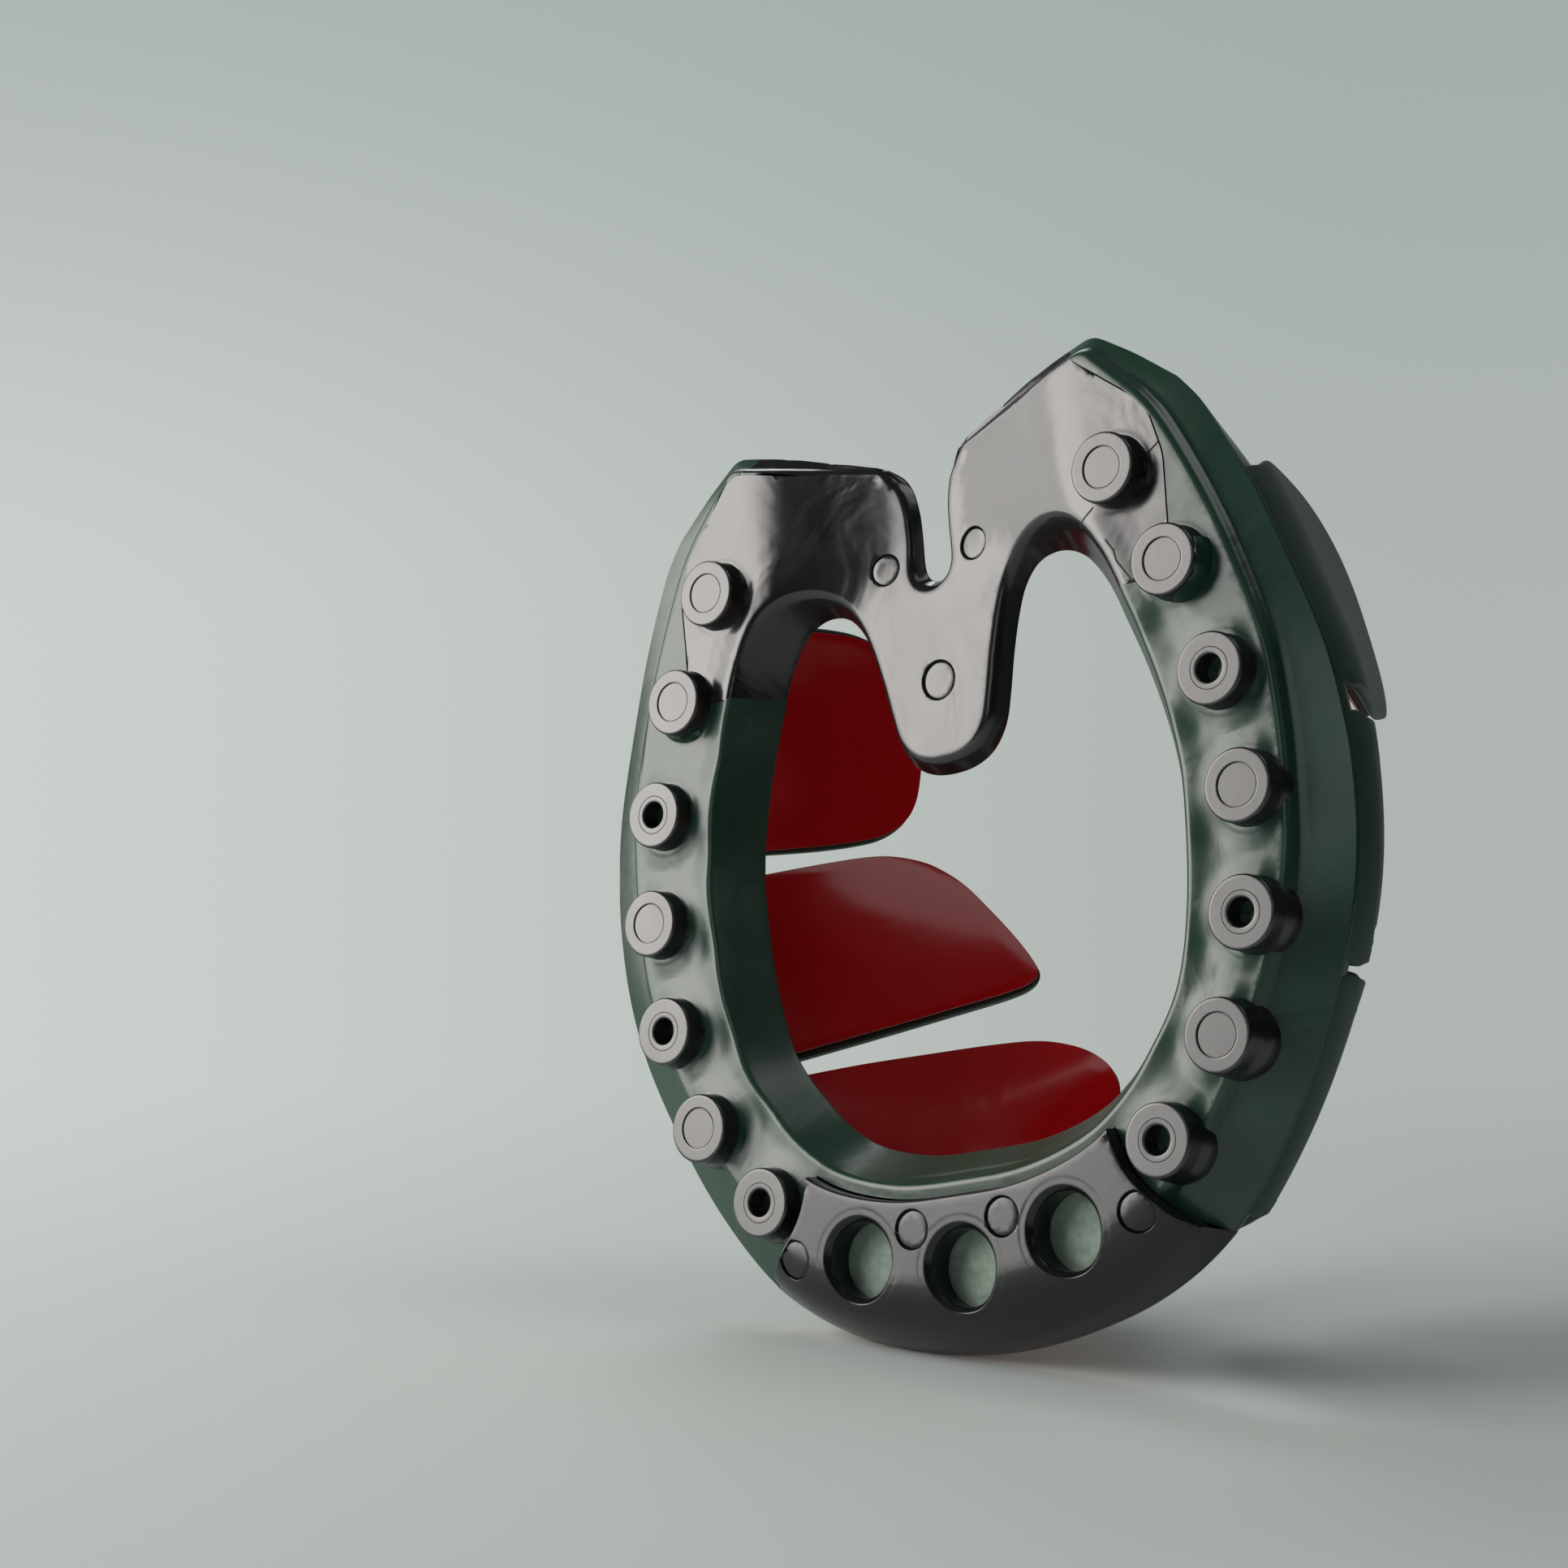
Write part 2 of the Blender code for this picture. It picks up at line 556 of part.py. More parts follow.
def outer_face(flap, run, height):
    """Point of a flap's outer face at a share of the rim's run and a share of the flap height."""
    foot = rim_place(run)
    rise = height * FLAP_HEIGHT
    runs = flap["run_shares"]
    lean = [np.polyval(np.polyfit(runs, values, len(runs) - 1), run) for values in zip(*flap["lean_shares"])]
    bent = max(rise - UPRIGHT, 0.0)
    bent = bent * bent / (2 * BEND) if bent < BEND else bent - BEND / 2
    return np.array([foot[0] + lean[0] * bent, foot[1] + lean[1] * bent, HOOF_Z + CLEARANCE + rise])


def face_rings(flap):
    """Rings of points on a flap's outer face, from its outline to its middle, and the triangles on them."""
    outline, middle = np.array(flap["outline_shares"]), np.array(flap["middle_shares"])
    places = [middle + (outline - middle) * share for share in RING_SHARES]
    points = [outer_face(flap, run, height) for ring in places for run, height in ring]
    points.append(outer_face(flap, *middle))
    count = len(outline)
    triangles = []
    for ring in range(len(RING_SHARES)):
        for i in range(count):
            a, b = ring * count + i, ring * count + (i + 1) % count
            if ring + 1 < len(RING_SHARES):
                triangles += [(a, b, b + count), (a, b + count, a + count)]
            else:
                triangles.append((a, b, len(points) - 1))
    return np.array(points), triangles, count


def steps_inward(points, triangles):
    """For each point the step inward for each unit of depth that keeps every triangle at that depth."""
    corners = np.array([[points[k] for k in triangle] for triangle in triangles])
    facets = np.cross(corners[:, 2] - corners[:, 0], corners[:, 1] - corners[:, 0])
    facets /= np.linalg.norm(facets, axis=1)[:, None]
    if facets[:, 0].mean() > 0:
        facets = -facets
    total = np.zeros_like(points)
    for triangle, facet in zip(triangles, facets):
        total[list(triangle)] += facet
    inward = total / np.linalg.norm(total, axis=1)[:, None]
    least = np.ones(len(points))
    for triangle, facet in zip(triangles, facets):
        for k in triangle:
            least[k] = min(least[k], float(inward[k] @ facet))
    return inward / least[:, None]


def sheet(name, flap, side, near, far, pad, material):
    """A closed sheet between two depths under a flap's outer face, with its origin on the hinge."""
    points, triangles, count = face_rings(flap)
    inward = steps_inward(points, triangles)
    if pad:
        for i in range(count):
            way = points[i + count] - points[i]
            share = PAD_MARGIN / np.linalg.norm(way)
            missing = HOOF_Z + CLEARANCE + PAD_FOOT - points[i][2]
            if missing > 0 and way[2] > 0:
                share = max(share, min(missing / way[2], PAD_FOOT_SHARE))
            points[i] += way * share
            inward[i] += (inward[i + count] - inward[i]) * share
    origin = hinge_place(flap, side)
    flip = np.array([side, 1.0, 1.0])
    bm = bmesh.new()
    layers = []
    for depth in (near, far):
        layers.append([bm.verts.new(p) for p in (points + inward * depth) * flip - origin])
    for layer in layers:
        for a, b, c in triangles:
            bm.faces.new((layer[a], layer[b], layer[c]))
    for i in range(count):
        j = (i + 1) % count
        bm.faces.new((layers[0][i], layers[0][j], layers[1][j], layers[1][i]))
    bmesh.ops.triangulate(bm, faces=bm.faces)
    thing = make_object(name, bm, material)
    thing.location = origin
    return thing


def hinge_place(flap, side):
    """Point on a flap's hinge line, which runs along its foot where the foot stands furthest out."""
    runs = [run for run, height in flap["outline_shares"] if height == 0]
    feet = np.array([rim_place(run) for run in runs])
    along = (feet[-1] - feet[0]) / np.linalg.norm(feet[-1] - feet[0])
    out = np.array([along[1], -along[0]])
    reach = max((foot - feet[0]) @ out for foot in feet)
    middle = (feet[0] + feet[-1]) / 2 + out * reach
    return np.array([side * middle[0], middle[1], HOOF_Z + CLEARANCE])


def flap_set(place, flap, side_name):
    """A flap with its pad and its liner."""
    side = SIDES[side_name]
    pad_depth = FLAP_WALL + CLEARANCE
    liner_depth = pad_depth + PAD_WALL + CLEARANCE
    sheet(f"{place}_flap_{side_name}", flap, side, 0.0, FLAP_WALL, False, "flap_plastic")
    for part, depth, wall, material in (
        ("pad", pad_depth, PAD_WALL, "pad_foam"),
        ("liner", liner_depth, LINER_WALL, "liner_film"),
    ):
        sheet(f"{place}_{part}_{side_name}", flap, side, depth, depth + wall, True, material)


def main():
    """Build the whole shoe."""
    clear_scene()
    cutters = opening_cutters()
    tread_core(cutters)
    sole_body(cutters)
    toe_cap()
    for place, flap in FLAPS.items():
        for side_name in SIDES:
            flap_set(place, flap, side_name)


main()
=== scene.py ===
"""Looks of the plastic horseshoe, dressed on its CAD frame.

The shoe lies as in the CAD frame: studs down (-Z), hoof face up (+Z), toe to -Y, heels to +Y.
Lines and heights are worked out in millimetres and turned into metres when a mesh is made.
A wall is a stack of rings, each with the same number of stations. The first lies at the ground.
"""

import logging
import math
from collections.abc import Callable
from dataclasses import dataclass, field
from enum import Enum
from functools import cache

import bmesh
import bpy
import numpy as np
from mathutils import Matrix, Vector, kdtree
from mathutils.geometry import delaunay_2d_cdt


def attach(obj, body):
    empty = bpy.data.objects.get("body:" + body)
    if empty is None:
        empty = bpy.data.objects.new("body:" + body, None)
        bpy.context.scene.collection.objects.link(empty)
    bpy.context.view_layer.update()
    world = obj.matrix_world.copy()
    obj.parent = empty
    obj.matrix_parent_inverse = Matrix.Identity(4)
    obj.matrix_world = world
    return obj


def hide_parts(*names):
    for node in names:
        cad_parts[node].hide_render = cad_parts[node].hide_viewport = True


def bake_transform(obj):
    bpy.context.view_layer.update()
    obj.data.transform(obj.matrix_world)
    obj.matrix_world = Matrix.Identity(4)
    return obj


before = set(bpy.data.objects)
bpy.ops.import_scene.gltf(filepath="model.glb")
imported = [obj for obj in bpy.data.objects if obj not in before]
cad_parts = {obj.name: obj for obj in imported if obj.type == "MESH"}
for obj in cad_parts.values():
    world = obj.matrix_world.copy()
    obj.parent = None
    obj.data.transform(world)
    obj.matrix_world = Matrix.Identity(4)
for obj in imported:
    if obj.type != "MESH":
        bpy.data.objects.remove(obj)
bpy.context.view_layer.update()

logging.basicConfig(level=logging.INFO, format="%(message)s")
log = logging.getLogger("horseshoe")

MM = 0.001
MIRROR = (-1, 1)  # turns a point in X and Y into its mirror image
HALF = np.array([64.9, 70.0])  # half of the shoe's width and of its length
HOOF = 11.0  # height of the hoof face; the stud faces lie at 0
RIM_HEEL, RIM_TOE = 6.5, 9.8  # height of the rim's widest line at its two ends
EDGE = 5.5  # height of the ground face at its outer edge
FACE = 3.66  # height of the ground face just inside that edge
TONGUE = 8.0  # height of the frog tongue's ground face
DRAFT = 0.585  # how far a wall runs in for each unit of its depth
RINGS = 18  # rings of every moulded wall
STATION = 0.9  # distance between the stations of the long walls
GAP = 0.03  # half of the open seam between core and overmould
CLEAR = 0.3  # height of the flaps' roots above the hoof face
SMOOTH = math.radians(33)  # edges flatter than this are shaded smooth
TINY = 1e-12

# Outlines and places, as shares of HALF.
RIM_SHARES = [
    (0.000, -1.000), (0.123, -0.993), (0.247, -0.973), (0.378, -0.939), (0.501, -0.885), (0.609, -0.811),
    (0.709, -0.708), (0.801, -0.583), (0.881, -0.441), (0.949, -0.292), (0.986, -0.156), (1.000, -0.014),
    (0.995, 0.114), (0.969, 0.270), (0.900, 0.477), (0.840, 0.633), (0.767, 0.782), (0.712, 0.856),
]
RIM_HEEL_SHARES = [(0.610, 0.935), (0.510, 1.000), (0.154, 0.911), (0.000, 0.872)]
EDGE_SHARES = [
    (0.000, -0.889), (0.111, -0.882), (0.220, -0.863), (0.336, -0.831), (0.445, -0.782), (0.542, -0.717),
    (0.632, -0.626), (0.713, -0.516), (0.784, -0.391), (0.844, -0.260), (0.878, -0.142), (0.892, -0.014),
    (0.895, 0.114), (0.881, 0.277), (0.826, 0.469), (0.764, 0.626), (0.690, 0.775), (0.639, 0.846),
]
EDGE_HEEL_SHARES = [(0.562, 0.924), (0.510, 0.976), (0.154, 0.886), (0.000, 0.850)]
OPENING_SHARES = [
    (0.000, -0.590), (0.149, -0.585), (0.285, -0.552), (0.370, -0.503), (0.440, -0.435), (0.518, -0.329),
    (0.559, -0.178), (0.575, 0.000), (0.572, 0.092), (0.554, 0.192), (0.521, 0.307), (0.484, 0.405),
    (0.446, 0.497), (0.397, 0.565), (0.338, 0.594), (0.276, 0.587), (0.233, 0.547), (0.206, 0.488),
    (0.183, 0.411), (0.165, 0.333), (0.146, 0.270), (0.110, 0.222), (0.060, 0.197), (0.000, 0.190),
]
NOTCH_SHARES = [
    (0.000, 0.611), (0.026, 0.621), (0.037, 0.650), (0.037, 0.720), (0.041, 0.778), (0.058, 0.834),
    (0.098, 0.880), (0.150, 0.914), (0.210, 0.953), (0.290, 1.010),
]
SEAM_SHARES = [
    (0.250, 0.450), (0.640, 0.450), (0.665, 0.455), (0.674, 0.480), (0.675, 0.557), (0.680, 0.694),
    (0.655, 0.786), (0.620, 0.830), (0.545, 0.889), (0.468, 0.950), (0.406, 1.040),
]
CAP_END_SHARES = [
    (0.360, -0.520), (0.392, -0.590), (0.420, -0.666), (0.449, -0.711), (0.500, -0.763), (0.548, -0.803),
    (0.605, -0.824), (0.665, -0.850), (0.740, -0.890),
]
STUD_SHARES = [
    (0.559, 0.684), (0.683, 0.464), (0.766, 0.226), (0.801, -0.010), (0.778, -0.250), (0.692, -0.470),
    (0.527, -0.646),
]
STUD_BORED = [False, False, True, False, True, False, True]
CAP_HOLE_SHARES = [(-0.271, -0.789), (0.0, -0.831), (0.271, -0.789)]
CAP_MARK_SHARES = [(-0.451, -0.771), (-0.119, -0.744), (0.119, -0.744), (0.451, -0.771)]
HEEL_MARK_SHARES = [(0.125, 0.656), (-0.125, 0.656)]
TONGUE_MARK_SHARES = [(0.0, 0.386)]


class Side(Enum):
    """The two sides of the shoe, with their sign in X."""

    LEFT = 1
    RIGHT = -1


def placed(shares: list[tuple[float, float]]) -> np.ndarray:
    """Points in millimetres from shares of half the width and half the length."""
    return np.array(shares, float) * HALF


def soft_step(low: float, high: float, value: np.ndarray) -> np.ndarray:
    """0 below low, 1 above high and a smooth rise between them."""
    t = np.clip((value - low) / (high - low), 0, 1)
    return t * t * (3 - 2 * t)


def soft_max(a: np.ndarray, b: np.ndarray, width: float) -> np.ndarray:
    """The larger of two heights, rounded where they cross over the given width."""
    h = np.clip(0.5 + 0.5 * (a - b) / width, 0, 1)
    return b + (a - b) * h + width * h * (1 - h)


def curve(
    points: np.ndarray, steps: int, start: np.ndarray | None = None, end: np.ndarray | None = None
) -> np.ndarray:
    """A smooth line through points.

    Args:
        points: the points, in order.
        steps: how many parts each stretch is split into.
        start: the point before the first, or None to run straight on.
        end: the point after the last, or None to run straight on.

    Returns:
        The points of the line.
    """
    before = 2 * points[0] - points[1] if start is None else start
    after = 2 * points[-1] - points[-2] if end is None else end
    chain = np.vstack([before, points, after])
    t = (np.arange(steps) / steps)[:, None]
    parts = []
    for a, b, c, d in zip(chain, chain[1:], chain[2:], chain[3:]):
        bow = (2 * a - 5 * b + 4 * c - d) * t**2 + (3 * b - a - 3 * c + d) * t**3
        parts.append((2 * b + (c - a) * t + bow) / 2)
    return np.vstack([*parts, points[-1:]])


def closed_curve(points: np.ndarray, steps: int) -> np.ndarray:
    """A smooth closed line through points, without a repeated end."""
    around = np.vstack([points, points[:1]])
    return curve(around, steps, start=points[-1], end=points[1])[:-1]


def bowed(start: np.ndarray, corner: np.ndarray, end: np.ndarray, share: float) -> np.ndarray:
    """A value on the curve from a start to an end that a corner pulls at."""
    return (1 - share) ** 2 * start + 2 * share * (1 - share) * corner + share * share * end


def rounded(points: np.ndarray, setback: float, steps: int, most: float = 0.45) -> np.ndarray:
    """An open line with its inner corners rounded.

    Args:
        points: the corners.
        setback: how far before and after a corner the rounding starts.
        steps: points in each rounding, less one.
        most: largest setback, as a share of the stretch it lies on.

    Returns:
        The points of the rounded line.
    """
    line = [points[0]]
    for a, b, c in zip(points, points[1:], points[2:]):
        into, away = b - a, c - b
        back = min(setback, most * np.linalg.norm(into), most * np.linalg.norm(away))
        p = b - into / np.linalg.norm(into) * back
        q = b + away / np.linalg.norm(away) * back
        for t in np.linspace(0, 1, steps + 1):
            line.append(bowed(p, b, q, t))
    line.append(points[-1])
    return np.array(line)


def run_of(line: np.ndarray) -> np.ndarray:
    """Length along a line up to each of its points."""
    return np.concatenate([[0.0], np.cumsum(np.linalg.norm(np.diff(line, axis=0), axis=1))])


def at_index(line: np.ndarray, index: np.ndarray) -> np.ndarray:
    """Points of a line at fractional indices."""
    numbers = np.arange(len(line))
    return np.stack([np.interp(index, numbers, line[:, k]) for k in range(line.shape[1])], axis=-1)


def even_indices(line: np.ndarray, spacing: float) -> np.ndarray:
    """Places that lie evenly along a line.

    Args:
        line: points of the line.
        spacing: about how far the places lie apart.

    Returns:
        Their fractional indices.
    """
    run = run_of(line)
    count = max(int(run[-1] / spacing), 2)
    return np.interp(np.linspace(0, run[-1], count + 1), run, np.arange(len(line)))


def evenly(line: np.ndarray, spacing: float) -> np.ndarray:
    """A line with its points about a spacing apart."""
    return at_index(line, even_indices(line, spacing))


def left_of(line: np.ndarray) -> np.ndarray:
    """Directions across an open line.

    Args:
        line: points of the line.

    Returns:
        At each point, the unit vector to the left of the way along the line.
    """
    way = np.gradient(line, axis=0)
    way /= np.linalg.norm(way, axis=1)[:, None]
    return np.stack([-way[:, 1], way[:, 0]], axis=1)


def mirrored(line: np.ndarray) -> np.ndarray:
    """A line on the other side of the middle plane, run the other way."""
    return line[::-1] * MIRROR


def whole(half: np.ndarray) -> np.ndarray:
    """A line from its half: the mirror image up to the middle plane, then the half."""
    return np.vstack([mirrored(half), half[1:]])


def both_sides(points: np.ndarray) -> np.ndarray:
    """Points, with their mirror images after them."""
    return np.vstack([points, points * MIRROR])


def crossing(line: np.ndarray, cut: np.ndarray) -> float:
    """Fractional index of a line where it first crosses another.

    Args:
        line: points of the line; X and Y are used.
        cut: points of the line that it crosses.

    Returns:
        The fractional index in the first line.
    """
    p, r = line[:-1, :2], np.diff(line[:, :2], axis=0)
    q, s = cut[:-1, :2], np.diff(cut[:, :2], axis=0)
    det = r[:, None, 0] * s[None, :, 1] - r[:, None, 1] * s[None, :, 0]
    det = np.where(np.abs(det) < TINY, TINY, det)
    gap = q[None] - p[:, None]
    t = (gap[..., 0] * s[None, :, 1] - gap[..., 1] * s[None, :, 0]) / det
    u = (gap[..., 0] * r[:, None, 1] - gap[..., 1] * r[:, None, 0]) / det
    hits = np.argwhere((t >= 0) & (t <= 1) & (u >= 0) & (u <= 1))
    if not len(hits):
        raise ValueError("two lines that should cross don't")
    return min(float(i + t[i, j]) for i, j in hits)


def stretch(line: np.ndarray, start: np.ndarray, end: np.ndarray, count: int) -> np.ndarray:
    """The part of a line between its crossings with two others, as a number of points."""
    return at_index(line, np.linspace(crossing(line, start), crossing(line, end), count))


def stations_between(
    line: np.ndarray, start: np.ndarray, end: np.ndarray, shares: np.ndarray
) -> np.ndarray:
    """Places on a line between two points that lie near it.

    Args:
        line: points of the line.
        start: the point where share 0 lies.
        end: the point where share 1 lies.
        shares: the places, as shares of the way between them.

    Returns:
        Their fractional indices.
    """
    run = run_of(line)
    ends = []
    for point in (start, end):
        near = np.linalg.norm(line - point[:2], axis=1).argmin()
        near = min(max(near, 1), len(line) - 2)
        way = line[near + 1] - line[near - 1]
        ends.append(run[near] + (point[:2] - line[near]) @ way / np.linalg.norm(way))
    return np.interp(ends[0] + (ends[1] - ends[0]) * shares, run, np.arange(len(line)))


def inside(points: np.ndarray, loops: list[np.ndarray]) -> np.ndarray:
    """Whether points lie inside an odd number of loops.

    Args:
        points: points in X and Y.
        loops: closed lines in X and Y.

    Returns:
        True or False for each point.
    """
    odd = np.zeros(len(points), bool)
    for loop in loops:
        after = np.roll(loop, -1, axis=0)
        for a, b in zip(loop, after):
            if a[1] == b[1]:
                continue
            spans = (points[:, 1] > min(a[1], b[1])) & (points[:, 1] <= max(a[1], b[1]))
            x = a[0] + (points[:, 1] - a[1]) * (b[0] - a[0]) / (b[1] - a[1])
            odd ^= spans & (points[:, 0] < x)
    return odd


def nearest(points: np.ndarray, others: np.ndarray) -> np.ndarray:
    """How far points lie from the nearest of others.

    Args:
        points: points in X and Y.
        others: points whose X and Y are used.

    Returns:
        The distance of each point.
    """
    tree = kdtree.KDTree(len(others))
    for i, place in enumerate(others):
        tree.insert((place[0], place[1], 0.0), i)
    tree.balance()
    return np.array([tree.find((p[0], p[1], 0.0))[2] for p in points])


def rim_z(y: np.ndarray) -> np.ndarray:
    """Height of the widest line of the rim."""
    return RIM_HEEL + (RIM_TOE - RIM_HEEL) * (HALF[1] - y) / (2 * HALF[1])


CURVE_STEPS = 6  # points for each stretch of the long outlines
ROUND_STEPS = 4  # points in the rounding of a corner, less one
HEEL_ROUND, SEAM_ROUND = 1.6, 1.2


def half_outline(shares: list, heel_shares: list) -> np.ndarray:
    """Half of an outline, from the middle of the toe to the middle of the heels.

    Args:
        shares: points of its smooth stretch, as shares of HALF.
        heel_shares: the corners that follow round the heel.

    Returns:
        The points of the half.
    """
    body = placed(shares)
    smooth = curve(body, CURVE_STEPS, start=body[1] * MIRROR)
    heel = rounded(np.vstack([smooth[-1:], placed(heel_shares)]), HEEL_ROUND, ROUND_STEPS)
    return np.vstack([smooth[:-1], heel])


def outer_lines() -> tuple[np.ndarray, np.ndarray]:
    """Rim and outer edge on equal stations, from the heel middle round the right side to the left.

    Returns:
        The rim's points and the edge's.
    """
    rim = whole(half_outline(RIM_SHARES, RIM_HEEL_SHARES))
    edge = whole(half_outline(EDGE_SHARES, EDGE_HEEL_SHARES))
    index = even_indices(rim, STATION)
    return at_index(rim, index), at_index(edge, index)


RIM_LINE, EDGE_LINE = outer_lines()
opening_half = placed(OPENING_SHARES)
OPENING_LINE = curve(opening_half, CURVE_STEPS, opening_half[1] * MIRROR, opening_half[-2] * MIRROR)
NOTCH_LINE = curve(placed(NOTCH_SHARES), steps=5, start=placed(NOTCH_SHARES)[1] * MIRROR)
SEAM_LINE = rounded(placed(SEAM_SHARES), SEAM_ROUND, ROUND_STEPS)
CAP_END_LINE = curve(placed(CAP_END_SHARES), steps=4)
STUDS = both_sides(placed(STUD_SHARES))
EDGE_TURNS = np.unwrap(np.arctan2(EDGE_LINE[:, 1], EDGE_LINE[:, 0]))
EDGE_REACH = np.linalg.norm(EDGE_LINE, axis=1)

# Height of the ground face at shares of the way from the shoe's middle to its outer edge.
TREAD_SHARES = [0.60, 0.70, 0.745, 0.78, 0.82, 0.87, 0.92, 0.976, 0.983, 0.989, 0.994, 1.0]
TREAD_HEIGHTS = [2.6, 2.72, 2.95, 3.22, 3.42, 3.53, 3.60, 3.66, 3.76, 4.02, 4.50, EDGE]

# Heights of the hollow at distances from the middle plane, beside the tongue and at the heels.
HOLLOW_ACROSS = [5.0, 8.0, 12.0, 14.0, 17.5, 22.0, 27.0, 31.0, 34.0]
HOLLOW_TONGUE = [TONGUE, TONGUE, TONGUE, TONGUE, 7.3, 5.6, 3.7, 2.6, 1.5]
HOLLOW_HEEL = [8.9, 8.4, 7.55, 7.1, 6.25, 5.0, 3.6, 2.6, 1.5]
HOLLOW_BACK = (38.0, 50.0)  # where in Y the first heights give way to the second
HOLLOW_START = 5.0  # there is no hollow in front of this Y
HOLLOW_TAPS = (-2.0, -1.2, -0.4, 0.4, 1.2, 2.0)  # offsets in X that the heights are averaged over
HOLLOW_BLEND = 1.2

FILLET, FILLET_REACH = 0.10, (5.4, 6.3)  # rise right beside a stud
SKIRT, SKIRT_REACH, SKIRT_END = 0.32, (5.4, 8.8), (0.92, 0.968)  # soft rise round a stud
DIP, DIP_RADIUS, DIP_INSET = 0.42, 3.5, 0.885  # dip between two studs, towards the opening
DIP_SHARES = (0.67, 0.33)  # of the two studs beside it
MARK_DEPTH, MARK_SLOPE = 0.28, 0.12
GROOVE_DEPTH, GROOVE_INSET, GROOVE_WIDTH = 0.22, 0.10, 0.11
HEEL_MARK, TONGUE_MARK, CAP_MARK = 2.45, 2.95, 2.8  # radii of the round marks


def edge_share(points: np.ndarray) -> np.ndarray:
    """How far out points lie.

    Args:
        points: points in X and Y.

    Returns:
        Their distances from the middle, as shares of the outer edge's in that direction.
    """
    turns = np.arctan2(points[..., 1], points[..., 0])
    turns = EDGE_TURNS[0] + np.mod(turns - EDGE_TURNS[0], 2 * math.pi)
    return np.linalg.norm(points, axis=-1) / np.interp(turns, EDGE_TURNS, EDGE_REACH)


def hollow_z(points: np.ndarray) -> np.ndarray:
    """Height of the hollow across the heels.

    Args:
        points: points in X and Y.

    Returns:
        The height at each, and 0 where there is no hollow.
    """
    back = soft_step(*HOLLOW_BACK, points[..., 1])
    deep = 0.0
    for tap in HOLLOW_TAPS:
        x = np.abs(points[..., 0]) + tap
        tongue, heel = (np.interp(x, HOLLOW_ACROSS, table) for table in (HOLLOW_TONGUE, HOLLOW_HEEL))
        deep = deep + (tongue * (1 - back) + heel * back) / len(HOLLOW_TAPS)
    return np.where(points[..., 1] > HOLLOW_START, deep, 0.0)


def tread_z(points: np.ndarray) -> np.ndarray:
    """Height of the ground face before studs and hollow."""
    return np.interp(edge_share(points), TREAD_SHARES, TREAD_HEIGHTS)


def plate_z(points: np.ndarray) -> np.ndarray:
    """Height of the ground face short of its outer edge, with the hollow."""
    return soft_max(np.minimum(tread_z(points), FACE), hollow_z(points), HOLLOW_BLEND)


def lifted(z: np.ndarray, base: np.ndarray) -> np.ndarray:
    """Heights of the outer side, squeezed up where the hollow lifts the ground face.

    Args:
        z: heights without the hollow.
        base: heights of the ground face with it.

    Returns:
        Heights between the base and the hoof face.
    """
    share = np.clip((z - FACE) / (HOOF - FACE), 0, 1)
    part = ((HOOF - base) / (HOOF - FACE)) ** 2
    return base + (HOOF - base) * share * (part + (1 - part) * share)


def stud_reach(points: np.ndarray, studs: np.ndarray) -> np.ndarray:
    """Distance of each point from the nearest stud's middle."""
    gaps = points[..., None, :] - studs
    return np.linalg.norm(gaps, axis=-1).min(axis=-1)


def fillets(points: np.ndarray) -> np.ndarray:
    """How far the ground face rises right beside each stud."""
    return FILLET * (1 - soft_step(*FILLET_REACH, stud_reach(points, STUDS)))


def dimple(points: np.ndarray, mark: np.ndarray, radius: float) -> np.ndarray:
    """Depth of a shallow round mark with a groove at its border.

    Args:
        points: points in X and Y.
        mark: the mark's middle.
        radius: its radius.

    Returns:
        The depth at each point.
    """
    reach = np.linalg.norm(points - mark, axis=-1)
    groove = GROOVE_DEPTH * np.exp(-(((reach - radius + GROOVE_INSET) / GROOVE_WIDTH) ** 2))
    return MARK_DEPTH * (1 - soft_step(radius - MARK_SLOPE, radius, reach)) + groove


def sole_ground(points: np.ndarray) -> np.ndarray:
    """Ground face of the soft body: it rises round each stud and dips between two studs.

    Args:
        points: points in X and Y.

    Returns:
        The height at each.
    """
    row = placed(STUD_SHARES)
    reach = stud_reach(points, both_sides(row[2:]))
    skirt = SKIRT * (1 - soft_step(*SKIRT_REACH, reach)) + fillets(points)
    z = lifted(tread_z(points), plate_z(points)) - skirt * (1 - soft_step(*SKIRT_END, edge_share(points)))
    dips = both_sides((row[1:-1] * DIP_SHARES[0] + row[2:] * DIP_SHARES[1]) * DIP_INSET)
    gaps = np.linalg.norm(points[..., None, :] - dips, axis=-1)
    return z + DIP * np.exp(-((gaps / DIP_RADIUS) ** 2)).sum(axis=-1)


def core_ground(points: np.ndarray) -> np.ndarray:
    """Ground face of the heel plates and the frog tongue, with its round marks.

    Args:
        points: points in X and Y.

    Returns:
        The height at each.
    """
    z = lifted(tread_z(points), plate_z(points)) - fillets(points)
    for shares, radius in ((HEEL_MARK_SHARES, HEEL_MARK), (TONGUE_MARK_SHARES, TONGUE_MARK)):
        for mark in placed(shares):
            z = z + dimple(points, mark, radius)
    return z


Ground = Callable[[np.ndarray], np.ndarray]

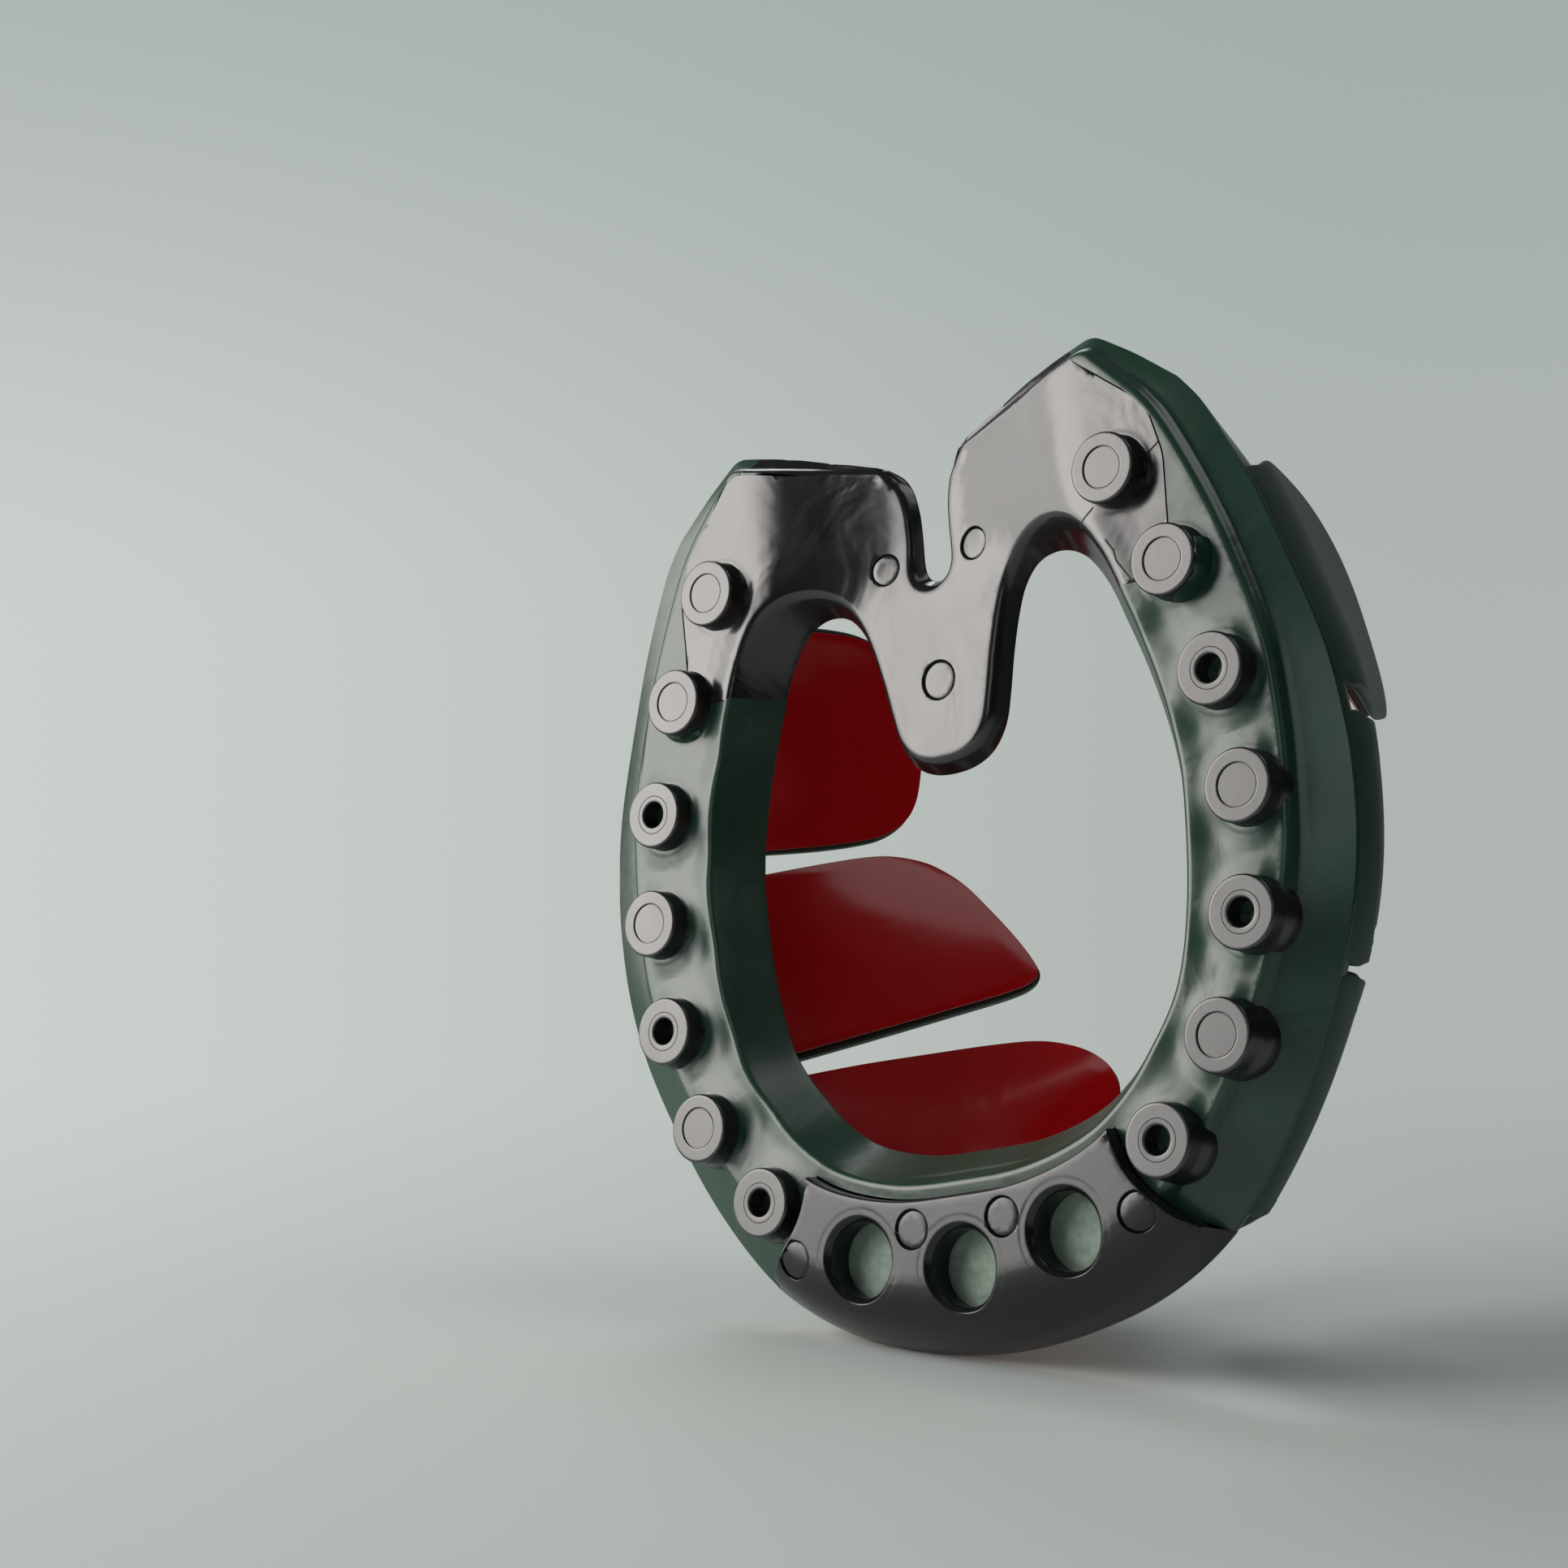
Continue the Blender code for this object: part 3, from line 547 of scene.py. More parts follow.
DRAW_SHARES, DRAW = [0.629, 0.857, 0.971], [0.0, 2.0, 3.2]  # how far the heels' walls draw in along Y
EDGE_SCALES = (0.974, 0.980, 0.985, 0.990, 0.995, 1.0)  # rings of the ground face's border
EDGE_RISE = 0.12
SIDE_PARTS, SIDE_BULGE = (0.96, 0.80, 0.45, 0.12, 0.02), 1.15  # rings from the edge up to the rim
RIM_TOPS = ((0.25, 0.05), (0.02, 0.28))  # inset, and rise above the rim's widest line
RIM_MIDDLE = (0.45, 0.55)  # shares of the rim's and the hoof face's height
HOOF_ROUND = ((0.05, 0.5), (0.20, 0.16), (0.45, 0.03), (0.85, 0.0))  # inset, and depth below the face


def outer_rings(ground: Ground) -> np.ndarray:
    """Rings of the outer side, from the ground face over the edge and the rim to the hoof face.

    Args:
        ground: height of the ground face.

    Returns:
        Points as (ring, station, axis).
    """
    inward = left_of(RIM_LINE)
    side = EDGE_LINE - RIM_LINE
    depth = np.linalg.norm(side, axis=1)
    way = side / depth[:, None]
    low = rim_z(RIM_LINE[:, 1])
    base = plate_z(RIM_LINE)
    draw = np.interp(RIM_LINE[:, 1] / HALF[1], DRAW_SHARES, DRAW)

    def drawn(z: np.ndarray) -> np.ndarray:
        """How far the heel's wall has drawn in at a height."""
        return draw * np.maximum(lifted(z, base) - low, 0.0) / (HOOF - low)

    rings = []
    for scale in EDGE_SCALES:
        place = EDGE_LINE * scale
        rings.append(np.column_stack([place, ground(place)]))
    for part in SIDE_PARTS:
        z = EDGE + EDGE_RISE + (low - EDGE - EDGE_RISE) * (1 - part) ** SIDE_BULGE
        place = RIM_LINE + way * np.maximum(depth * part, drawn(z))[:, None]
        rings.append(np.column_stack([place, lifted(z, plate_z(place))]))
    tops = [(inset, low + rise) for inset, rise in RIM_TOPS]
    tops += [(0.0, low * RIM_MIDDLE[0] + HOOF * RIM_MIDDLE[1])]
    tops += [(inset, np.full(len(low), HOOF - dip)) for inset, dip in HOOF_ROUND]
    for inset, z in tops:
        place = RIM_LINE + inward * (inset + drawn(z))[:, None]
        rings.append(np.column_stack([place, lifted(z, base)]))
    return np.array(rings)


def wall_rings(
    line: np.ndarray,
    ground: Ground,
    roll: float,
    draft: float = DRAFT,
    top: float = HOOF,
    crease: float = 0.3,
    most_roll: float = 0.35,
) -> np.ndarray:
    """Rings of a drafted wall, from the ground face round a rolled edge up to the hoof face.

    Args:
        line: the wall's line at the hoof face, with the material on its left.
        ground: height of the ground face.
        roll: radius of the edge at the ground.
        draft: how far the wall runs into the material for each unit of depth.
        top: height of the upper face.
        crease: radius of the edge at the upper face.
        most_roll: largest roll, as a share of the wall's height.

    Returns:
        Points as (ring, station, axis).
    """
    inward = left_of(line)
    z = ground(line)
    for _ in range(8):
        reach = draft * (top - z)
        z = 0.5 * z + 0.5 * ground(line + inward * reach[:, None])
    roll = np.minimum(roll, most_roll * (top - z))
    foot = ground(line + inward * (reach + roll)[:, None])
    lines = []
    for b in np.linspace(0, 1, 7):
        lines.append((bowed(reach + roll, reach, reach - draft * roll, b), bowed(foot, z, z + roll, b)))
    for b in np.linspace(0, 1, 8)[1:-1]:
        height = (z + roll) * (1 - b) + (top - crease) * b
        lines.append((draft * (top - height), height))
    for b in np.linspace(0, 1, 5):
        inset = (1 - b) ** 2 * draft * crease + b * b * crease
        lines.append((np.full(len(z), inset), np.full(len(z), top - crease * (1 - b) ** 2)))
    return np.array([np.column_stack([line + inward * inset[:, None], height]) for inset, height in lines])


def trimmed(rings: np.ndarray, start: np.ndarray, end: np.ndarray, count: int) -> np.ndarray:
    """Rings cut off where they cross two lines.

    Args:
        rings: points as (ring, station, axis).
        start: line, or line for each ring, that cuts off the start.
        end: line, or line for each ring, that cuts off the end.
        count: stations of the result.

    Returns:
        Rings with the stations spread evenly between the cuts.
    """
    starts, ends = ([cut] * len(rings) if cut.ndim == 2 else cut for cut in (start, end))
    return np.array([stretch(*cuts, count) for cuts in zip(rings, starts, ends)])


SEAM_LEVELS = [0.0, 0.008, 0.028, *np.linspace(0.06, 1.0, RINGS - 3)]  # shares of the wall's height
SEAM_INSETS = [0.10, 0.03] + [0.0] * (RINGS - 2)


def seam_rings(
    line: np.ndarray, before: np.ndarray, after: np.ndarray, ground: Ground, count: int, ease: float = 8.0
) -> np.ndarray:
    """Rings of an upright wall between two other stretches.

    Args:
        line: the wall's line in plan, with the material on its left.
        before: the last point of each ring of the stretch before.
        after: the first point of each ring of the stretch after.
        ground: height of the ground face.
        count: stations, with both ends left out.
        ease: the wall takes up its own levels over one part in so many at each end.

    Returns:
        Points as (ring, station, axis).
    """
    inward = left_of(line)
    u = np.linspace(0, 1, count + 2)[1:-1]
    middle = np.minimum(1, np.minimum(u, 1 - u) * ease)
    made = []
    for start, end, level, inset in zip(before, after, SEAM_LEVELS, SEAM_INSETS):
        index = stations_between(line, start, end, u)
        place = at_index(line, index) + at_index(inward, index) * (inset + GAP)
        low = ground(place)
        feet = [float(ground(np.array(point[:2]))) for point in (start, end)]
        tips = [(point[2] - foot) / (HOOF - foot) for point, foot in zip((start, end), feet)]
        share = (tips[0] * (1 - u) + tips[1] * u) * (1 - middle) + level * middle
        made.append(np.column_stack([place, low + np.clip(share, 0, 1) * (HOOF - low)]))
    return np.array(made)


def ring_quads(first: int, rings: int, stations: int) -> list[tuple[int, ...]]:
    """Faces between neighbouring rings that close round.

    Args:
        first: number of the first point.
        rings: how many rings there are.
        stations: points in each.

    Returns:
        The corners of each face.
    """
    faces = []
    for k in range(rings - 1):
        low, high = first + k * stations, first + (k + 1) * stations
        for i in range(stations):
            j = (i + 1) % stations
            faces.append((low + i, low + j, high + j, high + i))
    return faces


def staggered_grid(low: np.ndarray, high: np.ndarray, spacing: float) -> np.ndarray:
    """Points of a grid of even triangles.

    Args:
        low: its lower corner in X and Y.
        high: its upper corner.
        spacing: distance between neighbours.

    Returns:
        The points.
    """
    row = np.arange(low[0], high[0], spacing)
    heights = np.arange(low[1], high[1], spacing * math.sqrt(0.75))
    points = []
    for i, y in enumerate(heights):
        points.append(np.column_stack([row + spacing / 2 * (i % 2), np.full(len(row), y)]))
    return np.vstack(points)


@dataclass
class Mould:
    """A moulded slab: walls of rings round one outer loop and its holes, filled at both faces."""

    name: str
    outer: np.ndarray
    holes: list[np.ndarray] = field(default_factory=list)
    detail: list[np.ndarray] = field(default_factory=list)
    creases: list[np.ndarray] = field(default_factory=list)
    spacing: float = 0.8
    hoof_spacing: float = 3.0
    detail_gap: float = 0.12
    grid_gap: float = 0.6

    def filled(self, level: int, height: Ground, spacing: float, rich: bool) -> tuple[np.ndarray, list]:
        """Fill one face.

        Args:
            level: the ring that bounds the face.
            height: height of the face.
            spacing: distance between the points inside it.
            rich: whether the detail points and creases are used.

        Returns:
            The inner points in X, Y and Z, and triangles whose corners count the loops' points first.
        """
        loops = [wall[level][:, :2] for wall in [self.outer, *self.holes]]
        edge = np.vstack(loops)
        lines = self.creases if rich else []
        inner = list(lines)
        if rich:
            for points in self.detail:
                points = points[inside(points, loops)]
                taken = np.vstack([edge, *inner])
                inner.append(points[nearest(points, taken) > self.detail_gap])
        grid = staggered_grid(edge.min(axis=0), edge.max(axis=0), spacing)
        grid = grid[inside(grid, loops)]
        inner.append(grid[nearest(grid, np.vstack([edge, *inner])) > self.grid_gap * spacing])
        flat = np.vstack(inner)
        edges, base = [], 0
        for loop in loops:
            edges += [(base + i, base + (i + 1) % len(loop)) for i in range(len(loop))]
            base += len(loop)
        for line in lines:
            edges += [(base + i, base + i + 1) for i in range(len(line) - 1)]
            base += len(line)
        every = np.vstack([edge, flat])
        found = delaunay_2d_cdt([Vector(p) for p in every], edges, [], 0, 1e-6, True)
        old = [ids[0] if ids else -1 for ids in found[3]]
        if -1 in old:
            log.warning("%s: face %d has %d crossed edges", self.name, level, old.count(-1))
        corners = np.array(found[2])
        middles = np.array([p[:] for p in found[0]])[corners].mean(axis=1)
        kept = [[old[c] for c in triangle] for triangle in corners[inside(middles, loops)]]
        triangles = [tuple(triangle) for triangle in kept if -1 not in triangle]
        return np.column_stack([flat, height(flat)]), triangles

    def build(self, ground: Ground, hoof: Ground) -> bpy.types.Object:
        """Make the mesh.

        Args:
            ground: height of the lower face.
            hoof: height of the upper face.

        Returns:
            The object, in metres.
        """
        points, faces, starts = [], [], []
        count = 0
        for wall in [self.outer, *self.holes]:
            rings, stations = wall.shape[:2]
            starts.append((count, stations))
            points.append(wall.reshape(-1, 3))
            faces += ring_quads(count, rings, stations)
            count += rings * stations
        faces_to_fill = ((0, ground, self.spacing, True), (RINGS - 1, hoof, self.hoof_spacing, False))
        for level, height, spacing, rich in faces_to_fill:
            inner, triangles = self.filled(level, height, spacing, rich)
            ids = []
            for start, stations in starts:
                ids += range(start + level * stations, start + (level + 1) * stations)
            ids += range(count, count + len(inner))
            points.append(inner)
            count += len(inner)
            faces += [tuple(ids[c] for c in triangle) for triangle in triangles]
        return solid(self.name, np.vstack(points), faces)


def linked(name: str, data: bpy.types.ID) -> bpy.types.Object:
    """An object in the scene.

    Args:
        name: its name.
        data: its mesh, lamp or camera.

    Returns:
        The object, at the origin.
    """
    thing = bpy.data.objects.new(name, data)
    bpy.context.scene.collection.objects.link(thing)
    return thing


def shade(mesh: bpy.types.Mesh) -> None:
    """Shade a mesh smooth, apart from its sharp edges."""
    mesh.shade_smooth()
    mesh.set_sharp_from_angle(angle=SMOOTH)


def solid(name: str, points: np.ndarray, faces: list) -> bpy.types.Object:
    """A closed object from points in millimetres, with its faces pointing out.

    Args:
        name: name of the object.
        points: points in X, Y and Z.
        faces: corners of each face.

    Returns:
        The object at the origin.
    """
    mesh = bpy.data.meshes.new(name)
    mesh.from_pydata((points * MM).tolist(), [], faces)
    bm = bmesh.new()
    bm.from_mesh(mesh)
    bmesh.ops.dissolve_degenerate(bm, edges=bm.edges, dist=1e-7)
    bmesh.ops.holes_fill(bm, edges=[edge for edge in bm.edges if edge.is_boundary], sides=0)
    bmesh.ops.recalc_face_normals(bm, faces=bm.faces)
    if bm.calc_volume(signed=True) < 0:
        bmesh.ops.reverse_faces(bm, faces=bm.faces)
    open_edges = sum(1 for edge in bm.edges if len(edge.link_faces) != 2)
    bm.to_mesh(mesh)
    bm.free()
    shade(mesh)
    log.info("%s: %d faces, %d open edges", name, len(mesh.polygons), open_edges)
    return linked(name, mesh)


def ring_points(centres: np.ndarray, radii: list[float], spacing: float, fewest: int = 10) -> np.ndarray:
    """Points on circles.

    Args:
        centres: middles of the circles.
        radii: radii of the circles round each.
        spacing: about how far the points lie apart.
        fewest: least number of points on a circle.

    Returns:
        The points in X and Y.
    """
    points = []
    for centre in centres:
        for radius in radii:
            count = max(int(2 * math.pi * radius / spacing), fewest)
            turns = np.linspace(0, 2 * math.pi, count, endpoint=False)
            points.append(centre + radius * np.column_stack([np.cos(turns), np.sin(turns)]))
    return np.vstack(points)


def flat_at(z: float) -> Ground:
    """A face of one height."""
    return lambda points: np.full(points.shape[:-1], z)


class Sock:
    """A node's output whose operators add Math nodes."""

    def __init__(self, tree: "Tree", socket: bpy.types.NodeSocket) -> None:
        """Keep the tree and the socket."""
        self.tree, self.socket = tree, socket

    def math(self, operation: str, *others: "Sock | float") -> "Sock":
        """A Math node on this value and others."""
        return self.tree.node("ShaderNodeMath", {"operation": operation}, dict(enumerate([self, *others])))

    def __add__(self, other: "Sock | float") -> "Sock":
        """The sum."""
        return self.math("ADD", other)

    def __sub__(self, other: "Sock | float") -> "Sock":
        """The difference."""
        return self.math("SUBTRACT", other)

    def __mul__(self, other: "Sock | float") -> "Sock":
        """The product."""
        return self.math("MULTIPLY", other)

    def __truediv__(self, other: "Sock | float") -> "Sock":
        """The quotient."""
        return self.math("DIVIDE", other)

    def __pow__(self, other: "Sock | float") -> "Sock":
        """The power."""
        return self.math("POWER", other)

    def __rsub__(self, other: float) -> "Sock":
        """A number less this value."""
        return self.tree.node("ShaderNodeMath", {"operation": "SUBTRACT"}, {0: other, 1: self})

    def __neg__(self) -> "Sock":
        """The value with its sign turned."""
        return self * -1.0

    __radd__ = __add__
    __rmul__ = __mul__

    def step(self, low: float, high: float) -> "Sock":
        """0 below low, 1 above high, smooth between them."""
        values = {"Value": self, "From Min": low, "From Max": high, "To Min": 0.0, "To Max": 1.0}
        return self.tree.node("ShaderNodeMapRange", {"interpolation_type": "SMOOTHSTEP"}, values)


class Tree:
    """A node tree, with one method that adds any node."""

    def __init__(self, nodes: bpy.types.NodeTree) -> None:
        """Start from a tree and empty it."""
        self.nodes = nodes
        nodes.nodes.clear()

    def node(
        self, kind: str, settings: dict | None = None, values: dict | None = None, out: int | str = 0
    ) -> Sock:
        """Add a node.

        Args:
            kind: the node's type.
            settings: attributes that are set first; "stops" sets a ramp's stops.
            values: a value or a link for each input, by name, identifier or number.
            out: the output that is wanted, by name or number.

        Returns:
            That output.
        """
        made = self.nodes.nodes.new(kind)
        for name, value in (settings or {}).items():
            if name == "stops":
                ramp = made.color_ramp.elements
                while len(ramp) < len(value):
                    ramp.new(0.5)
                for element, (place, colour) in zip(ramp, value):
                    element.position = place
                    element.color = (*colour, 1.0)
            else:
                setattr(made, name, value)
        for name, value in (values or {}).items():
            socket = self.find(made.inputs, name)
            if isinstance(value, Sock):
                self.nodes.links.new(value.socket, socket)
            else:
                socket.default_value = value
        return Sock(self, self.find(made.outputs, out) if len(made.outputs) else None)

    @staticmethod
    def find(sockets: bpy.types.bpy_prop_collection, name: int | str) -> bpy.types.NodeSocket:
        """A socket of a node.

        Args:
            sockets: the node's inputs or outputs.
            name: its number, name or identifier.

        Returns:
            The socket; one that is in use comes first.
        """
        if isinstance(name, int):
            return sockets[name]
        fits = [socket for socket in sockets if name in (socket.identifier, socket.name)]
        return next((socket for socket in fits if socket.enabled), fits[0])

    def place(self, scale: tuple = (1.0, 1.0, 1.0), turn: tuple = (0.0, 0.0, 0.0)) -> Sock:
        """Object coordinates, scaled and turned."""
        here = self.node("ShaderNodeTexCoord", out="Object")
        return self.node("ShaderNodeMapping", values={"Vector": here, "Scale": scale, "Rotation": turn})

    def axes(self) -> list[Sock]:
        """Object coordinates one by one, in millimetres."""
        values = {0: self.node("ShaderNodeTexCoord", out="Object")}
        return [self.node("ShaderNodeSeparateXYZ", {}, values, axis) * (1 / MM) for axis in range(3)]

    def dot(self, place: Sock, axis: Vector) -> Sock:
        """How far a place lies along an axis."""
        values = {0: place, 1: tuple(axis)}
        return self.node("ShaderNodeVectorMath", {"operation": "DOT_PRODUCT"}, values, out="Value")

    def noise(
        self, scale: float, detail: float, place: Sock, rough: float = 0.5, warp: float = 0.0
    ) -> Sock:
        """Noise from 0 to 1."""
        values = {"Vector": place, "Scale": scale, "Detail": detail, "Roughness": rough, "Distortion": warp}
        return self.node("ShaderNodeTexNoise", values=values, out=0)

    def mix(self, factor: Sock | float, a: Sock | tuple, b: Sock | tuple) -> Sock:
        """A mixed colour.

        Args:
            factor: 0 for the first colour, 1 for the second.
            a: the first colour.
            b: the second colour.

        Returns:
            The colour between them.
        """
        a, b = ((*c, 1.0) if isinstance(c, tuple) else c for c in (a, b))
        values = {"Factor_Float": factor, "A_Color": a, "B_Color": b}
        return self.node("ShaderNodeMix", {"data_type": "RGBA"}, values, out="Result_Color")

    def stroke(self, start: tuple[float, float], end: tuple[float, float], width: float) -> Sock:
        """A thin line drawn on the piece.

        Args:
            start: its first point in X and Y, in millimetres.
            end: its last point.
            width: how far from its middle it has faded out.

        Returns:
            1 on the line, 0 away from it.
        """
        x, y, _ = self.axes()
        x, y = x - start[0], y - start[1]
        run = (end[0] - start[0], end[1] - start[1])
        along = (x * run[0] + y * run[1]) / (run[0] ** 2 + run[1] ** 2)
        along = along.math("MAXIMUM", 0.0).math("MINIMUM", 1.0)
        x, y = x - along * run[0], y - along * run[1]
        return 1.0 - ((x * x + y * y) ** 0.5).step(0.3 * width, width)

    def bump(self, height: Sock, strength: float, distance: float, normal: Sock | None = None) -> Sock:
        """A bumped normal.

        Args:
            height: height of the relief, from 0 to 1.
            strength: how much of it shows.
            distance: how far 1 rises, in metres.
            normal: the normal that is bumped, or None for the surface's own.

        Returns:
            The normal.
        """
        values = {"Height": height, "Strength": strength, "Distance": distance}
        if normal:
            values["Normal"] = normal
        return self.node("ShaderNodeBump", values=values)


Colour = tuple[float, float, float]
BLACK = (0.001, 0.001, 0.001)
FLOOR_DARK, FLOOR_PALE = (0.20, 0.285, 0.225), (0.31, 0.41, 0.33)


def new_material(name: str) -> tuple[bpy.types.Material, Tree]:
    """A material to fill.

    Args:
        name: its name.

    Returns:
        The material and its empty tree.
    """
    made = bpy.data.materials.new(name)
    made.use_nodes = True
    return made, Tree(made.node_tree)


@dataclass(frozen=True)
class Plastic:
    """A moulded plastic finish."""

    name: str
    colour: Colour
    pale: Colour
    roughness: float = 0.3
    spread: float = 0.08
    specular: float = 0.5
    grain: float = 0.15
    scratches: float = 0.3
    ripple: float = 0.0
    cracks: tuple = ()
    crack_width: float = 0.15

    def material(self) -> bpy.types.Material:
        """The finish as a material.

        Returns:
            The material.
        """
        made, tree = new_material(self.name)
        colour, rough, normal = self.surface(tree)
        values = {"Base Color": colour, "Roughness": rough, "Specular IOR Level": self.specular}
        shader = tree.node("ShaderNodeBsdfPrincipled", values={**values, "Normal": normal})
        tree.node("ShaderNodeOutputMaterial", values={"Surface": shader})
        return made

    def surface(self, tree: Tree) -> tuple[Sock, Sock, Sock]:
        """Cloudy gloss, fine scratches, a faint grain and any cracks.

        Args:
            tree: the material's tree.

        Returns:
            Colour, roughness and normal.
        """
        here = tree.place()
        cloud = tree.noise(38.0, 4.0, here, rough=0.55, warp=0.6)
        smear = tree.noise(90.0, 3.0, tree.place((1.0, 0.35, 1.0), (0.0, 0.0, 0.5)), rough=0.6, warp=1.2)
        fine = tree.noise(900.0, 2.0, here)
        lines = tree.noise(260.0, 5.0, tree.place((1.0, 0.05, 1.0), (0.0, 0.0, 0.9)), rough=0.7)
        scuff = lines.step(0.60, 0.70) * tree.noise(60.0, 2.0, here).step(0.45, 0.62)
        pale = cloud.step(0.35, 0.75) * 0.5 + scuff * self.scratches * 0.3
        colour = tree.mix(pale, self.colour, self.pale)
        rough = (cloud - 0.5) * self.spread + (smear - 0.5) * self.spread + scuff * 0.12 * self.scratches
        rough = rough + self.roughness
        normal = tree.bump(fine * 0.4 + scuff * -0.5 * self.scratches, self.grain, 0.00012)
        if self.ripple:
            waves = tree.noise(70.0, 3.0, here, rough=0.5, warp=0.8)
            normal = tree.bump(waves, self.ripple, 0.0009, normal)
        for start, end in self.cracks:
            crack = tree.stroke(start, end, self.crack_width)
            colour = tree.mix(crack, colour, BLACK)
            rough = rough + crack * 0.5
            normal = tree.bump(1.0 - crack, 1.0, 0.0004, normal)
        return colour, rough, normal


@dataclass(frozen=True)
class Sole(Plastic):
    """The green overmould, paler and textured on the floor under the toe cap's holes."""

    floor_y: tuple[float, float] = (44.0, 46.0)
    floor_x: tuple[float, float] = (25.0, 26.0)
    floor_low: tuple[float, float] = (4.9, 5.3)
    floor_high: tuple[float, float] = (6.2, 6.6)

    def surface(self, tree: Tree) -> tuple[Sock, Sock, Sock]:
        """Cloudy gloss, fine scratches and a ripple, and a woven look on the floor.

        Args:
            tree: the material's tree.

        Returns:
            Colour, roughness and normal.
        """
        here = tree.place()
        x, y, z = tree.axes()
        cloud = tree.noise(45.0, 4.0, here, rough=0.55, warp=0.8)
        fine = tree.noise(1000.0, 2.0, here)
        lines = tree.noise(300.0, 5.0, tree.place((1.0, 0.06, 1.0), (0.0, 0.0, -0.4)), rough=0.7)
        scuff = lines.step(0.62, 0.72) * tree.noise(55.0, 2.0, here).step(0.48, 0.64)
        floor = (0.0 - y).step(*self.floor_y) * z.step(*self.floor_low) * (1.0 - z.step(*self.floor_high))
        floor = floor * (1.0 - x.math("ABSOLUTE").step(*self.floor_x))
        colour = tree.mix(cloud.step(0.35, 0.75) * 0.5 + scuff * 0.2, self.colour, self.pale)
        weave = tree.noise(420.0, 4.0, here, rough=0.7)
        colour = tree.mix(floor, colour, tree.mix(weave.step(0.35, 0.7), FLOOR_DARK, FLOOR_PALE))
        rough = (cloud - 0.5) * self.spread + scuff * 0.12 + self.roughness + floor * 0.35
        normal = tree.bump(fine * 0.4 - scuff * 0.4, self.grain, 0.00012)
        waves = tree.noise(60.0, 3.0, here, rough=0.5, warp=0.9)
        normal = tree.bump(waves, self.ripple, 0.0012, normal)
        return colour, rough, tree.bump(weave * floor, 0.6, 0.0003, normal)


CRACKS = (
    ((-32.4, 43.6), (-29.6, 41.7)),
    ((-41.8, 49.2), (-43.7, 50.4)),
    ((-34.0, 38.5), (-35.1, 36.7)),
    ((-35.1, 36.7), (-35.4, 35.1)),
    ((-35.4, 35.1), (-37.4, 32.0)),
)
CORE = Plastic(
    "core plastic", (0.009, 0.009, 0.010), (0.017, 0.017, 0.018),
    roughness=0.20, spread=0.14, specular=0.9, grain=0.12, scratches=0.5, ripple=0.30, cracks=CRACKS,
)
STUD = Plastic(
    "stud plastic", (0.010, 0.009, 0.009), (0.022, 0.020, 0.020),
    roughness=0.27, spread=0.10, specular=1.0, grain=0.16, scratches=0.6,
)
CAP = Plastic(
    "cap plastic", (0.007, 0.008, 0.009), (0.013, 0.014, 0.015),
    roughness=0.23, spread=0.10, specular=0.62, grain=0.22, scratches=0.8,
)
SOLE = Sole(
    "sole plastic", (0.014, 0.048, 0.031), (0.024, 0.068, 0.047),
    roughness=0.27, spread=0.08, specular=0.70, grain=0.15, ripple=0.20,
)
FLAP = Plastic(
    "flap plastic", (0.026, 0.060, 0.045), (0.038, 0.078, 0.060),
    roughness=0.48, spread=0.08, specular=0.4, grain=0.35, scratches=0.3,
)
FOAM = Plastic(
    "pad foam", (0.10, 0.095, 0.095), (0.16, 0.155, 0.15),
    roughness=0.85, spread=0.05, specular=0.3, grain=0.8, scratches=0.0,
)
FILM = Plastic(
    "liner film", (0.56, 0.006, 0.010), (0.64, 0.011, 0.016),
    roughness=0.15, spread=0.04, specular=0.35, grain=0.06, scratches=0.4, ripple=0.12,
)


@cache
def material_of(finish: Plastic) -> bpy.types.Material:
    """The material of a finish, made once."""
    return finish.material()


def paint(thing: bpy.types.Object, finish: Plastic) -> None:
    """Give an object one finish."""
    thing.data.materials.clear()
    thing.data.materials.append(material_of(finish))


